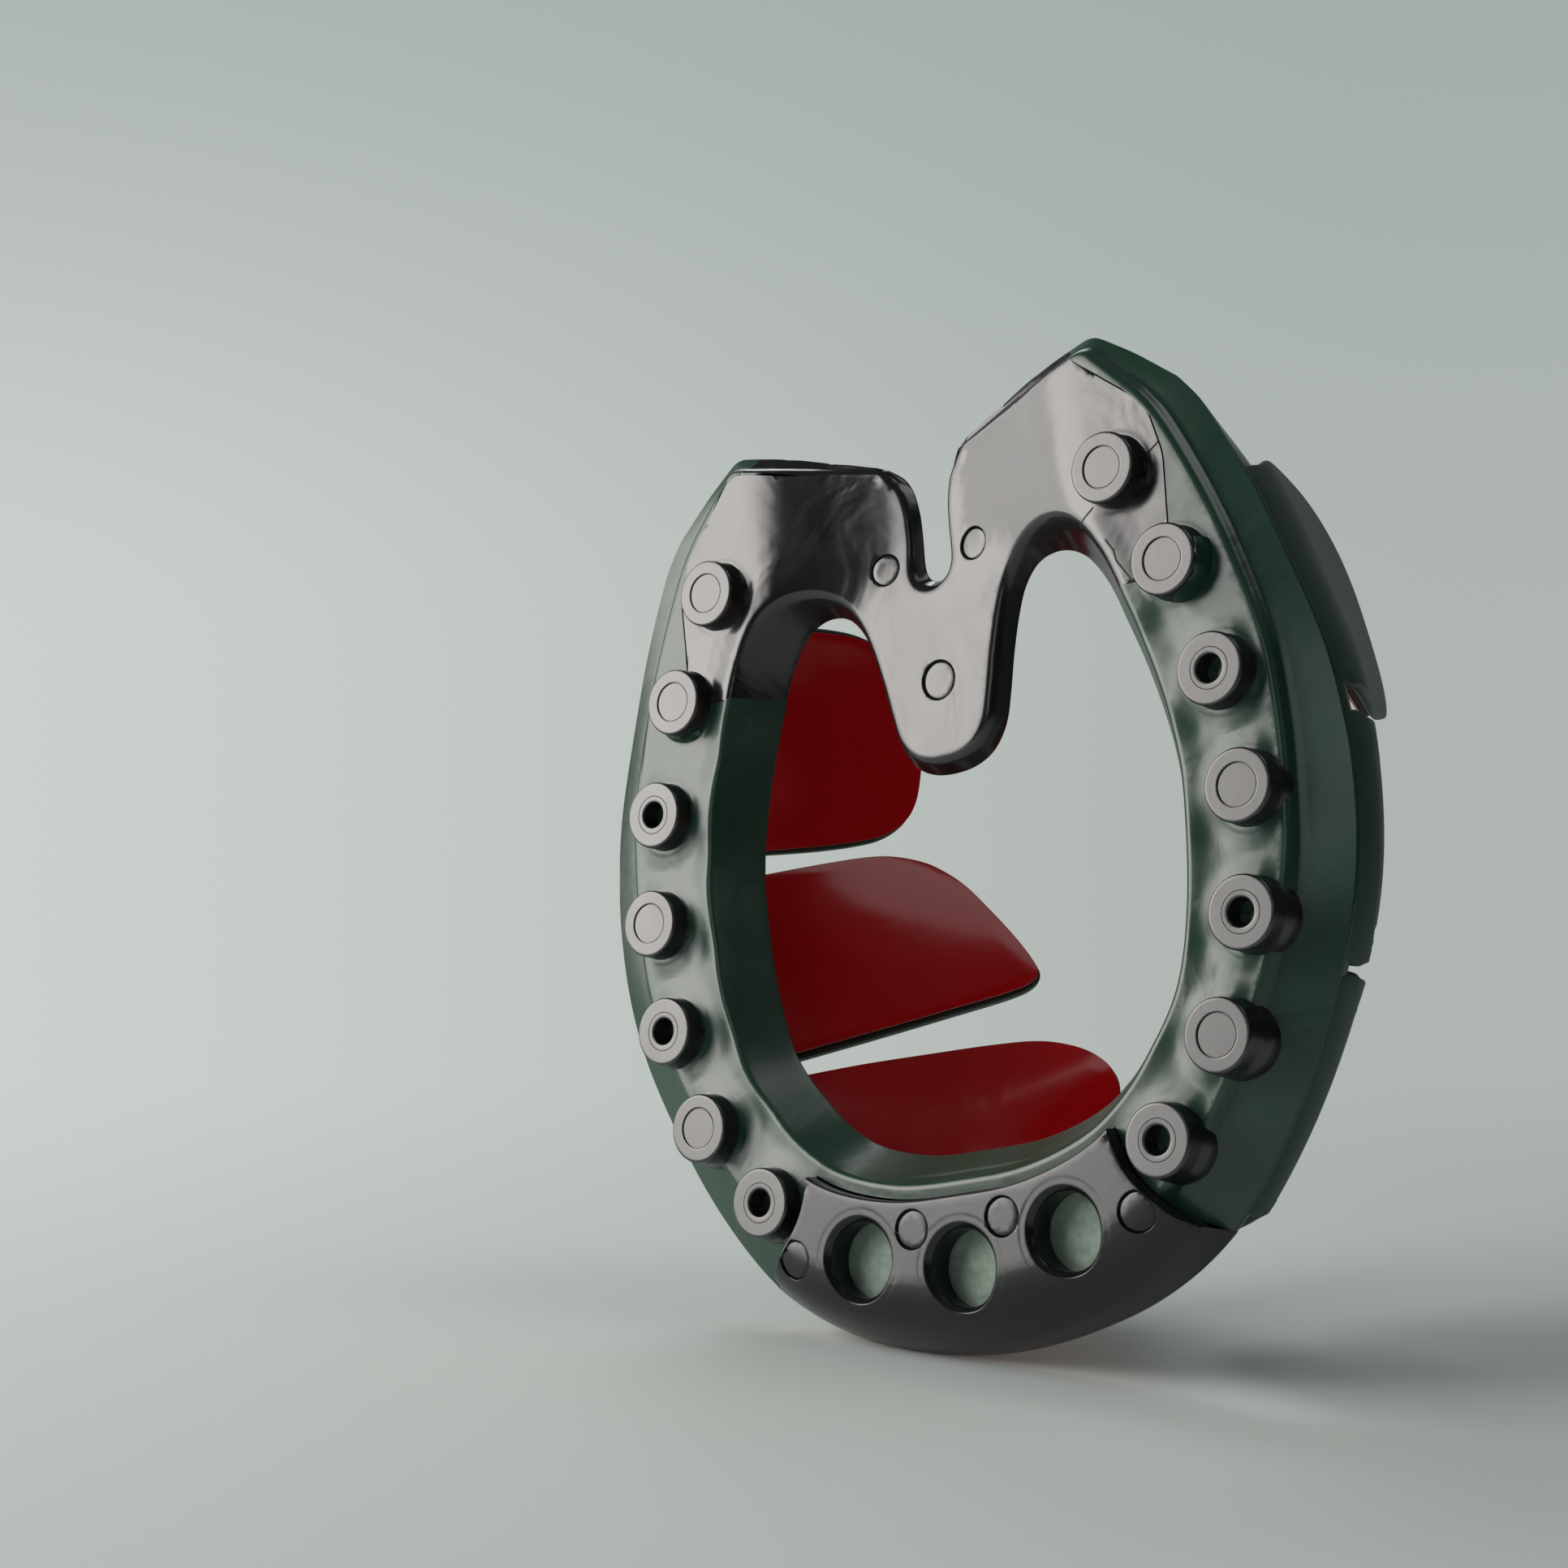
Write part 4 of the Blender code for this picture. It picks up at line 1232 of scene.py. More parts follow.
@dataclass
class SoleBody:
    """The green overmould: branches, rim and toe, with a seat for the toe cap."""

    roll: float = 0.75
    seat_inset: float = 3.6
    seat_z: float = 5.75
    seat_gap: float = 0.12
    side_stations: int = 190
    toe_stations: int = 90
    inner_stations: int = 230
    seam_stations: int = 70
    stud_rings: tuple[float, ...] = (5.6, 5.8, 6.0, 6.25, 6.55, 7.0, 7.6, 8.4)
    body: bpy.types.Object | None = None

    def ground(self, seat: np.ndarray) -> Ground:
        """The ground face with the cap's seat let into it.

        Args:
            seat: outline of the seat.

        Returns:
            Its height at points.
        """

        def height(points: np.ndarray) -> np.ndarray:
            """The seat's height inside its outline, the soft face's outside.

            Args:
                points: points in X and Y.

            Returns:
                The height at each.
            """
            flat = points.reshape(-1, 2)
            z = np.where(inside(flat, [seat]), self.seat_z, sole_ground(flat))
            return z.reshape(points.shape[:-1])

        return height

    def build(self) -> None:
        """Make the body."""
        outer = outer_rings(sole_ground)
        height = self.ground(cap_outline(0.0))
        left_seam, right_seam = SEAM_LINE, mirrored(SEAM_LINE)
        left_end, right_end = (end_line(side, self.seat_gap) for side in Side)
        left_tuck, right_tuck = (end_line(side, -self.seat_gap) for side in Side)
        right = trimmed(outer, right_seam, right_end, self.side_stations)
        left = trimmed(outer, left_end, left_seam, self.side_stations)
        toe_line = RIM_LINE + left_of(RIM_LINE) * self.seat_inset
        levels = [self.seat_z] * 2 + list(np.linspace(self.seat_z, HOOF, RINGS - 2))
        toe = np.array([np.column_stack([toe_line, np.full(len(toe_line), z)]) for z in levels])
        toe = trimmed(toe, right_tuck, left_tuck, self.toe_stations)
        inner = wall_rings(self.branch_line(), height, self.roll)
        inner = trimmed(inner, left_seam, right_seam, self.inner_stations)
        down = seam_rings(left_seam[::-1], left[:, -1], inner[:, 0], sole_ground, self.seam_stations)
        up = seam_rings(right_seam[::-1], inner[:, -1], right[:, 0], sole_ground, self.seam_stations)
        loop = np.concatenate([right, toe, left, down, inner, up], axis=1)
        detail = [ring_points(STUDS, self.stud_rings, 0.45)]
        outlines = [cap_outline(self.seat_gap), cap_outline(-self.seat_gap)]
        creases = [self.seat_wall(line, loop[0], outer[0]) for line in outlines]
        self.body = Mould("sole_green", loop, [], detail, creases).build(height, flat_at(HOOF))

    @staticmethod
    def branch_line(heel: float = 40.0, toe: float = 10.0, branch: float = 24.0) -> np.ndarray:
        """Opening line at the hoof face from the left heel round the toe to the right heel.

        Args:
            heel: Y at which it ends on the branches.
            toe: Y below which all of the opening belongs to it.
            branch: distance from the middle beyond which a point lies on a branch.

        Returns:
            The points of the line.
        """
        line = whole(OPENING_LINE)[::-1]
        on_branch = (np.abs(line[:, 0]) > branch) & (line[:, 1] < heel)
        keep = np.where((line[:, 1] < toe) | on_branch)[0]
        return evenly(line[keep[0] : keep[-1] + 1], STATION)

    @staticmethod
    def seat_wall(line: np.ndarray, loop: np.ndarray, bound: np.ndarray, gap: float = 0.35) -> np.ndarray:
        """The part of the cap's outline that lies on the ground face.

        Args:
            line: the outline.
            loop: the ground face's border.
            bound: the outermost ring of the ground face.
            gap: how far it keeps from the border.

        Returns:
            The points of that part.
        """
        line = evenly(np.vstack([line, line[:1]]), 0.6)[:-1]
        ok = inside(line, [loop[:, :2]]) & inside(line, [bound[:, :2]]) & (nearest(line, loop) > gap)
        start = int(np.argmin(ok)) if not ok.all() else 0
        turned = np.roll(line, -start, axis=0)
        ok = np.roll(ok, -start)
        first = int(np.argmax(ok))
        last = first + int(np.argmin(ok[first:])) if not ok[first:].all() else len(ok)
        return turned[first:last]

    def dress(self) -> None:
        """Give it its finish and its place in the frame."""
        paint(self.body, SOLE)
        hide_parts("sole_body")
        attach(self.body, "shoe")


def end_line(side: Side, growth: float) -> np.ndarray:
    """End of the toe cap on one side, moved out by a growth, from the opening out past the rim."""
    line = CAP_END_LINE + left_of(CAP_END_LINE) * growth
    return line * (side.value, 1)


LIP_DEPTH, LIP_LAND = 8.2, 1.9  # the cap starts this far down the opening's wall, and then in


def lip_line() -> np.ndarray:
    """Inner edge of the toe cap, from the right to the left."""
    line = whole(OPENING_LINE[: 8 * CURVE_STEPS])
    return line - left_of(line) * (LIP_DEPTH * DRAFT + LIP_LAND)


def cap_outline(growth: float) -> np.ndarray:
    """Outline of the toe cap at the ground.

    Args:
        growth: how far it is moved out.

    Returns:
        The points of the closed line, counter-clockwise.
    """
    lip = lip_line()
    lip = lip + left_of(lip) * growth
    rim = RIM_LINE - left_of(RIM_LINE) * growth
    left, right = (end_line(side, growth) for side in Side)
    front, back = stretch(rim, right, left, 100), stretch(lip, right, left, 60)
    ends = [stretch(left, rim, lip, 30)[1:-1], stretch(right, lip, rim, 30)[1:-1]]
    return np.vstack([front, ends[0], back[::-1], ends[1]])


@dataclass
class Flash:
    """Thin green flash that climbs the side wall of a stud."""

    stud: int
    turns: tuple[float, float]
    top: float
    wall: float = 5.12
    foot: float = 4.3
    foot_width: float = 0.75
    ledge: float = 3.1
    swell_in: float = 0.07
    swell_out: float = 0.72
    waves: int = 14
    stations: int = 90
    body: bpy.types.Object | None = None

    def build(self) -> None:
        """Make the flash with a ragged upper edge."""
        turns = np.radians(np.linspace(*self.turns, self.stations))
        random = np.random.default_rng(7 + self.stud)
        share = np.linspace(0, 1, self.stations)
        ragged = np.interp(share, np.linspace(0, 1, self.waves), random.uniform(-0.22, 0.30, self.waves))
        ragged = ragged + random.uniform(-0.05, 0.05, self.stations)
        swell = soft_step(0.0, self.swell_in, share) * (1 - soft_step(self.swell_out, 1.0, share))
        top = self.foot - 0.7 + (self.top + ragged - self.foot + 0.7) * swell
        thick = 0.10 + 0.22 * swell
        level = np.ones(self.stations)
        section = [
            (self.wall - 0.1, self.foot * level),
            (self.wall + self.foot_width, self.foot * level),
            (self.wall + 0.42 * swell + thick, np.maximum(top, self.ledge) + 0.1),
            (self.wall + thick, np.minimum(top + 0.35, self.foot - 0.3)),
            (self.wall + thick * 0.45, top),
            (self.wall - 0.1, top + 0.05),
        ]
        way = np.column_stack([np.cos(turns), np.sin(turns)])
        lines = []
        for radius, z in section:
            lines.append(np.column_stack([STUDS[self.stud] + way * (radius * level)[:, None], z]))
        points, count = np.stack(lines, axis=1).reshape(-1, 3), len(section)
        faces = ring_quads(0, self.stations, count)
        faces += [tuple(range(count)), tuple(range(len(points) - count, len(points)))]
        self.body = solid(f"flash_{self.stud}", points, faces)

    def dress(self) -> None:
        """Give it its finish and its place in the frame."""
        paint(self.body, SOLE)
        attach(self.body, "shoe")


# Sections of a stud as radius and height: the face with a bore or a disc, then the side and the root.
BORED_FACE = [(0, 6.0), (1.8, 6.0), (1.95, 5.8), (1.95, 0.25), (2.0, 0.10), (2.1, 0.02), (2.3, 0.0)]
BORED_FACE += [(2.7, 0.0), (2.84, 0.0), (2.9, 0.06), (2.96, 0.0), (3.1, 0.0)]
DISC_FACE = [(0, 0.12), (2.7, 0.12), (2.86, 0.12), (2.90, 0.22), (2.98, 0.22), (3.03, 0.03), (3.08, 0.0)]
DISC_FACE += [(3.25, 0.0)]
STUD_SIDE = [(4.55, 0.0), (4.76, 0.0), (4.90, 0.04), (5.02, 0.14), (5.08, 0.28), (5.10, 0.50), (5.12, 2.6)]
STUD_SIDE += [(5.25, 3.2), (5.5, 3.9), (5.75, 4.6), (5.8, 7.6), (0, 7.6)]


@dataclass
class TreadCore:
    """Heel plates and frog tongue, with fourteen studs and their recesses."""

    roll: float = 1.15
    back_stations: int = 36
    slot_stations: int = 110
    tongue_stations: int = 210
    seam_stations: int = 70
    slot_ease: int = 9
    heel_mark_rings: tuple[float, ...] = (2.58, 2.45, 2.35, 2.23, 2.0, 2.8)
    tongue_mark_rings: tuple[float, ...] = (3.08, 2.95, 2.85, 2.73, 2.5, 3.3)
    stud_rings: tuple[float, ...] = (5.5, 5.7, 5.95, 6.2, 6.5, 7.0)
    stud_steps: int = 56
    body: bpy.types.Object | None = None
    studs: bpy.types.Object | None = None

    def build(self) -> None:
        """Make the plates, the tongue and the studs."""
        outer = outer_rings(core_ground)
        seam_left, seam_right = SEAM_LINE, mirrored(SEAM_LINE)
        notch = wall_rings(evenly(whole(NOTCH_LINE)[::-1], 0.6), core_ground, self.roll)
        half = len(RIM_LINE) // 2
        back_right, back_left = outer[:, : half // 2], outer[:, -half // 2 :]
        slot = trimmed(notch, back_left, back_right, self.slot_stations)[:, 1:-1]
        back_left = trimmed(back_left, seam_left, notch, self.back_stations)
        back_right = trimmed(back_right, notch, seam_right, self.back_stations)
        for k in range(1, self.slot_ease):
            share = k / self.slot_ease
            slot[:, k - 1, 2] = back_left[:, -1, 2] * (1 - share) + slot[:, k - 1, 2] * share
            slot[:, -k, 2] = back_right[:, 0, 2] * (1 - share) + slot[:, -k, 2] * share
        tongue = wall_rings(self.tongue_line(), core_ground, self.roll)
        tongue = trimmed(tongue, seam_right, seam_left, self.tongue_stations)
        rise = seam_rings(seam_left, tongue[:, -1], back_left[:, 0], core_ground, self.seam_stations)
        fall = seam_rings(seam_right, back_right[:, -1], tongue[:, 0], core_ground, self.seam_stations)
        loop = np.concatenate([rise, back_left, slot, back_right, fall, tongue], axis=1)
        detail = [
            ring_points(placed(HEEL_MARK_SHARES), self.heel_mark_rings, 0.35),
            ring_points(placed(TONGUE_MARK_SHARES), self.tongue_mark_rings, 0.35),
            ring_points(STUDS, self.stud_rings, 0.45),
        ]
        mould = Mould("heel_plates", loop, [], detail, spacing=0.7)
        self.body = mould.build(core_ground, flat_at(HOOF))
        self.studs = self.row_of_studs()

    @staticmethod
    def tongue_line(heel: float = 24.0, tongue: float = 20.0) -> np.ndarray:
        """Opening line at the hoof face from the right side round the tongue to the left.

        Args:
            heel: Y above which all of the opening belongs to it.
            tongue: distance from the middle within which a point lies on the tongue.

        Returns:
            The points of the line.
        """
        line = whole(OPENING_LINE[::-1])
        on_tongue = (np.abs(line[:, 0]) < tongue) & (line[:, 1] > 0)
        keep = np.where((line[:, 1] > heel) | on_tongue)[0]
        return evenly(line[keep[0] : keep[-1] + 1], 0.7)

    def stud_mesh(self, bored: bool) -> bpy.types.Object:
        """One stud, turned about Z.

        Args:
            bored: whether it has a bore.

        Returns:
            The stud at the origin.
        """
        steps = self.stud_steps
        points, faces, rows = [], [], []
        for radius, z in (BORED_FACE if bored else DISC_FACE) + STUD_SIDE:
            if radius == 0:
                rows.append([len(points)] * steps)
                points.append((0.0, 0.0, z))
                continue
            rows.append(list(range(len(points), len(points) + steps)))
            for i in range(steps):
                turn = 2 * math.pi * i / steps
                points.append((radius * math.cos(turn), radius * math.sin(turn), z))
        for low, high in zip(rows, rows[1:]):
            for i in range(steps):
                j = (i + 1) % steps
                faces.append(tuple(dict.fromkeys((low[i], low[j], high[j], high[i]))))
        return solid("stud_bored" if bored else "stud_plain", np.array(points), faces)

    def row_of_studs(self) -> bpy.types.Object:
        """All studs in one piece, set on their places by a node tree.

        Returns:
            The piece.
        """
        parts = []
        for bored in (False, True):
            stud = self.stud_mesh(bored)
            spots = [(*place, 0.0) for place, is_bored in zip(STUDS, STUD_BORED * 2) if is_bored == bored]
            parts.append(instanced(f"studs_{int(bored)}", stud, np.array(spots), material_of(STUD)))
            bpy.data.objects.remove(stud, do_unlink=True)
        return merged("studs", parts)

    def dress(self) -> None:
        """Give the pieces their finish and their place in the frame."""
        paint(self.body, CORE)
        paint(self.studs, STUD)
        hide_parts("tread_core")
        for thing in (self.body, self.studs):
            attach(thing, "shoe")


TREE_SOCKETS = (
    ("Geometry", "INPUT", "NodeSocketGeometry"),
    ("Item", "INPUT", "NodeSocketObject"),
    ("Size", "INPUT", "NodeSocketFloat"),
    ("Finish", "INPUT", "NodeSocketMaterial"),
    ("Geometry", "OUTPUT", "NodeSocketGeometry"),
)


def instanced(
    name: str, item: bpy.types.Object, places: np.ndarray, finish: bpy.types.Material
) -> bpy.types.Object:
    """Copies of an item at places, made by a Geometry Nodes tree and baked to a plain mesh.

    Args:
        name: name of the result.
        item: the object that is repeated.
        places: points in millimetres.
        finish: material of the copies.

    Returns:
        The baked object.
    """
    mesh = bpy.data.meshes.new(name)
    mesh.from_pydata((places * MM).tolist(), [], [])
    carrier = linked(name, mesh)
    group = bpy.data.node_groups.new(f"{name} tree", "GeometryNodeTree")
    for label, way, kind in TREE_SOCKETS:
        group.interface.new_socket(label, in_out=way, socket_type=kind)
    tree = Tree(group)
    inputs = {socket.name: Sock(tree, socket) for socket in group.nodes.new("NodeGroupInput").outputs}
    shape = tree.node("GeometryNodeObjectInfo", values={"Object": inputs["Item"]}, out="Geometry")
    values = {"Points": inputs["Geometry"], "Instance": shape, "Scale": inputs["Size"]}
    copies = tree.node("GeometryNodeInstanceOnPoints", values=values)
    real = tree.node("GeometryNodeRealizeInstances", values={"Geometry": copies})
    painted = tree.node("GeometryNodeSetMaterial", values={"Geometry": real, "Material": inputs["Finish"]})
    tree.node("NodeGroupOutput", values={0: painted})
    modifier = carrier.modifiers.new("copies", "NODES")
    modifier.node_group = group
    ids = {entry.name: entry.identifier for entry in group.interface.items_tree if entry.in_out == "INPUT"}
    for label, value in (("Item", item), ("Size", 1.0), ("Finish", finish)):
        modifier[ids[label]] = value
    baked = bpy.data.meshes.new_from_object(carrier.evaluated_get(bpy.context.evaluated_depsgraph_get()))
    carrier.modifiers.remove(modifier)
    carrier.data = baked
    baked.name = name
    return carrier


def merged(name: str, parts: list[bpy.types.Object]) -> bpy.types.Object:
    """One object from several that don't touch; they are removed.

    Args:
        name: its name.
        parts: the objects.

    Returns:
        The object.
    """
    bm = bmesh.new()
    for part in parts:
        bm.from_mesh(part.data)
        bpy.data.objects.remove(part, do_unlink=True)
    mesh = bpy.data.meshes.new(name)
    bm.to_mesh(mesh)
    bm.free()
    shade(mesh)
    return linked(name, mesh)


# The cap's rings up its front, as shares of the way from its inner edge to the rim.
CAP_PARTS = (0.90, 0.925, 0.95, 0.97, 0.985, 0.995)
CAP_TOP = ((0.0, 10.35), (0.05, 10.7), (0.18, 10.9), (0.45, HOOF))  # inset from the rim, and height
CAP_BACK = ((0.0, 10.8), (0.0, 9.9), (0.0, 9.0), (0.6, 7.9), (1.6, 6.8), (2.6, 6.0))  # inset, height
CAP_SHARES = [0, 0.50, 0.56, 0.63, 0.70, 0.77, 0.83, 0.88, 0.93, 0.96, 0.985, 1.0]
CAP_RISES = [0, 0.0, 0.006, 0.028, 0.075, 0.158, 0.270, 0.400, 0.560, 0.690, 0.835, 0.93]
END_INSETS = [0.35, 0.20, 0.08, 0.02] + [0.0] * (RINGS - 4)
END_RISES = [0.0, 0.03, 0.12, 0.32]  # of the end walls' rounded edge
HOLE_EDGE = [(6.30, 0.0), (6.24, 0.01), (6.16, 0.05), (6.08, 0.12)]  # radius and depth
HOLE_EDGE += [(5.62, 0.62), (5.50, 0.76), (5.43, 0.92), (5.40, 1.1)]


@dataclass
class ToeCap:
    """The hard cap that wraps the toe, with three holes and four marks."""

    face: float = 0.75
    seat: float = 5.5
    wall: float = 3.2
    edge_roll: float = 0.55
    edge_draft: float = 0.05
    front: float = -30.0
    ring_rise: float = 0.03
    ring: tuple[float, float] = (7.2, 7.4)
    rim_stations: int = 130
    lip_stations: int = 90
    end_stations: int = 40
    end_ease: float = 10.0
    end_round: float = 0.3
    hole_steps: int = 72
    mark_rings: tuple[float, ...] = (2.93, 2.8, 2.7, 2.58, 2.3, 3.2)
    hole_rings_out: tuple[float, ...] = (6.6, 6.95, 7.2, 7.4, 7.7)
    body: bpy.types.Object | None = None
    lip: np.ndarray | None = None
    rim: np.ndarray | None = None

    @staticmethod
    def reach(points: np.ndarray, line: np.ndarray) -> np.ndarray:
        """Distance of each point from the nearest point of a line."""
        return np.array([np.linalg.norm(line - p, axis=1).min() for p in points])

    def share(self, points: np.ndarray) -> np.ndarray:
        """Place between the inner edge, 0, and the rim, 1.

        Args:
            points: points in X and Y.

        Returns:
            The share of each.
        """
        lip, rim = (self.reach(points.reshape(-1, 2), line) for line in (self.lip, self.rim))
        return (lip / (lip + rim + 1e-9)).reshape(points.shape[:-1])

    def curve_z(self, share: np.ndarray) -> np.ndarray:
        """Height of the cap's face at a place between its edges."""
        return self.face + (HOOF - self.face) * np.interp(share, CAP_SHARES, CAP_RISES)

    def ground(self, points: np.ndarray) -> np.ndarray:
        """Height of the cap's face, with its marks and the faint rings round its holes.

        Args:
            points: points in X and Y.

        Returns:
            The height at each.
        """
        z = self.curve_z(self.share(points))
        for mark in placed(CAP_MARK_SHARES):
            z = z + dimple(points, mark, CAP_MARK)
        for hole in placed(CAP_HOLE_SHARES):
            z = z + self.ring_rise * (1 - soft_step(*self.ring, np.linalg.norm(points - hole, axis=-1)))
        return z

    def build(self) -> None:
        """Make the cap."""
        left, right = (end_line(side, 0.0) for side in Side)
        self.lip = evenly(lip_line(), 0.5)
        self.rim = evenly(RIM_LINE[RIM_LINE[:, 1] < self.front], 0.5)
        span = self.reach(self.rim, self.lip)
        level = np.ones(len(span))
        rings = [(span * (1 - part), self.curve_z(part * level)) for part in CAP_PARTS]
        tops = [*CAP_TOP, (self.wall - 0.4, HOOF)]
        tops += [(self.wall + inset, z) for inset, z in (*CAP_BACK, (3.4, self.seat))]
        rings += [(inset * level, z * level) for inset, z in tops]
        inward = left_of(self.rim)
        outer = np.array([np.column_stack([self.rim + inward * i[:, None], z]) for i, z in rings])
        outer = trimmed(outer, right, left, self.rim_stations)
        edge = wall_rings(self.lip[::-1], self.ground, self.edge_roll, self.edge_draft, self.seat)
        edge = trimmed(edge, left, right, self.lip_stations)
        down = self.end_rings(left[::-1], outer[:, -1], edge[:, 0])
        up = self.end_rings(right, edge[:, -1], outer[:, 0])
        loop = np.concatenate([outer, down, edge, up], axis=1)
        holes = [self.hole_rings(hole) for hole in placed(CAP_HOLE_SHARES)]
        detail = [
            ring_points(placed(CAP_MARK_SHARES), self.mark_rings, 0.35),
            ring_points(placed(CAP_HOLE_SHARES), self.hole_rings_out, 0.5),
        ]
        mould = Mould("toe_cap_shell", loop, holes, detail, spacing=0.7)
        self.body = mould.build(self.ground, flat_at(self.seat))

    def end_rings(self, line: np.ndarray, before: np.ndarray, after: np.ndarray) -> np.ndarray:
        """Rings of an upright end wall between the rim and the inner edge.

        Args:
            line: the wall's line in plan, with the material on its left.
            before: the last point of each ring of the stretch before.
            after: the first point of each ring of the stretch after.

        Returns:
            Points as (ring, station, axis).
        """
        u = np.linspace(0, 1, self.end_stations + 2)[1:-1]
        middle = np.minimum(1, np.minimum(u, 1 - u) * self.end_ease)
        edge_rings = len(END_RISES)
        made = []
        for k, (start, end, inset) in enumerate(zip(before, after, END_INSETS)):
            index = stations_between(line, start, end, u)
            place = at_index(line, index) + at_index(left_of(line), index) * inset
            low = self.curve_z(self.share(place))
            if k < edge_rings:
                z = low + END_RISES[k]
            else:
                share = (k - edge_rings) / (RINGS - 1 - edge_rings)
                high = np.maximum(self.seat, np.minimum(low + self.wall, HOOF))
                z = low * (1 - share) + high * share + self.end_round * (1 - share)
            if k == RINGS - 1:
                z = np.full(len(u), self.seat)
            top = start[2] * (1 - u) + end[2] * u
            made.append(np.column_stack([place, z * middle + top * (1 - middle)]))
        return np.array(made)

    def hole_rings(self, hole: np.ndarray) -> np.ndarray:
        """Rings of a hole with its chamfer, from the face down to the seat.

        Args:
            hole: the hole's middle.

        Returns:
            Points as (ring, station, axis).
        """
        turns = np.linspace(0, 2 * math.pi, self.hole_steps, endpoint=False)
        circle = np.column_stack([np.cos(turns), np.sin(turns)])
        low = self.ground(hole + circle * HOLE_EDGE[0][0])
        made = []
        for radius, depth in HOLE_EDGE:
            made.append(np.column_stack([hole + circle * radius, np.minimum(low + depth, self.seat)]))
        bore, depth = HOLE_EDGE[-1]
        rest = RINGS - len(HOLE_EDGE)
        for k in range(1, rest + 1):
            share = k / rest
            z = (low + depth) * (1 - share) + self.seat * share
            made.append(np.column_stack([hole + circle * bore, z]))
        return np.array(made)

    def dress(self) -> None:
        """Give it its finish and its place in the frame."""
        paint(self.body, CAP)
        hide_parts("toe_cap")
        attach(self.body, "shoe")


@dataclass(frozen=True)
class FlapShape:
    """One flap, with places as shares of the rim's run and of the flap height.

    Attributes:
        outline: its border.
        middle: the place that its rings close in on.
        runs: places along the rim where its lean is given.
        leans: there, how far it leans in X and Y for each unit of rise.
    """

    outline: tuple[tuple[float, float], ...]
    middle: tuple[float, float]
    runs: tuple[float, ...]
    leans: tuple[tuple[float, float], ...]


FLAPS = {
    "heel": FlapShape(
        (
            (0.6381, 0.0000), (0.6815, 0.0000), (0.7298, 0.0000), (0.7781, 0.0000), (0.8184, 0.0000),
            (0.8329, 0.0664), (0.8425, 0.1518), (0.8490, 0.2846), (0.8522, 0.4269), (0.8522, 0.5503),
            (0.8479, 0.6546), (0.8366, 0.7495), (0.8184, 0.8254), (0.7942, 0.8805), (0.7674, 0.9146),
            (0.7379, 0.9222), (0.7095, 0.9222), (0.6848, 0.9108), (0.6654, 0.8767), (0.6520, 0.8121),
            (0.6461, 0.7306), (0.6424, 0.5882), (0.6408, 0.3795), (0.6386, 0.1708), (0.6381, 0.0797),
        ),
        (0.7459, 0.4554),
        (0.6332, 0.7379, 0.8586),
        ((-0.450, 0.080), (-0.380, 0.060), (-0.310, 0.030)),
    ),
    "middle": FlapShape(
        (
            (0.4336, 0.0000), (0.4776, 0.0000), (0.5232, 0.0000), (0.5688, 0.0000), (0.6134, 0.0000),
            (0.6139, 0.0797), (0.6150, 0.1708), (0.6171, 0.3416), (0.6198, 0.5123), (0.6209, 0.7021),
            (0.6161, 0.7970), (0.6032, 0.8729), (0.5849, 0.9165), (0.5635, 0.9431), (0.5367, 0.9602),
            (0.5098, 0.9753), (0.4830, 0.9886), (0.4588, 0.9981), (0.4401, 1.0000), (0.4288, 0.9734),
            (0.4250, 0.9108), (0.4261, 0.7590), (0.4282, 0.5503), (0.4309, 0.3416), (0.4331, 0.1708),
            (0.4336, 0.0797),
        ),
        (0.5232, 0.4934),
        (0.4240, 0.4937, 0.5581, 0.6198),
        ((-0.730, 0.340), (-0.735, 0.270), (-0.660, 0.190), (-0.520, 0.120)),
    ),
    "toe": FlapShape(
        (
            (0.2388, 0.0000), (0.2817, 0.0000), (0.3274, 0.0000), (0.3757, 0.0000), (0.4234, 0.0000),
            (0.4229, 0.0797), (0.4213, 0.1708), (0.4164, 0.3416), (0.4089, 0.5123), (0.3982, 0.6641),
            (0.3864, 0.7970), (0.3730, 0.8918), (0.3542, 0.9450), (0.3274, 0.9791), (0.2898, 0.9924),
            (0.2469, 0.9734), (0.2066, 0.9336), (0.1717, 0.8786), (0.1406, 0.8065), (0.1191, 0.7116),
            (0.1106, 0.6072), (0.1181, 0.5028), (0.1422, 0.4023), (0.1744, 0.3074), (0.2039, 0.2239),
            (0.2275, 0.1518), (0.2388, 0.0759),
        ),
        (0.2898, 0.5123),
        (0.1073, 0.2147, 0.3220, 0.4240),
        ((-0.360, 0.600), (-0.580, 0.540), (-0.775, 0.410), (-0.620, 0.250)),
    ),
}
FLAP_HEIGHT = 52.7
RIM_SIDE = half_outline(RIM_SHARES, RIM_HEEL_SHARES[:2])
RIM_SIDE_RUN = run_of(RIM_SIDE)
WHOLE_RUN = 186.34
SHEET_SCALE = np.array([WHOLE_RUN, FLAP_HEIGHT])
SHEET_SHARES = (0.90, 0.80, 0.68, 0.55, 0.42, 0.28, 0.14)  # rings of a sheet's face
ROOT = (0.0109, 0.0130)  # heights of the line along a flap's root, in metres
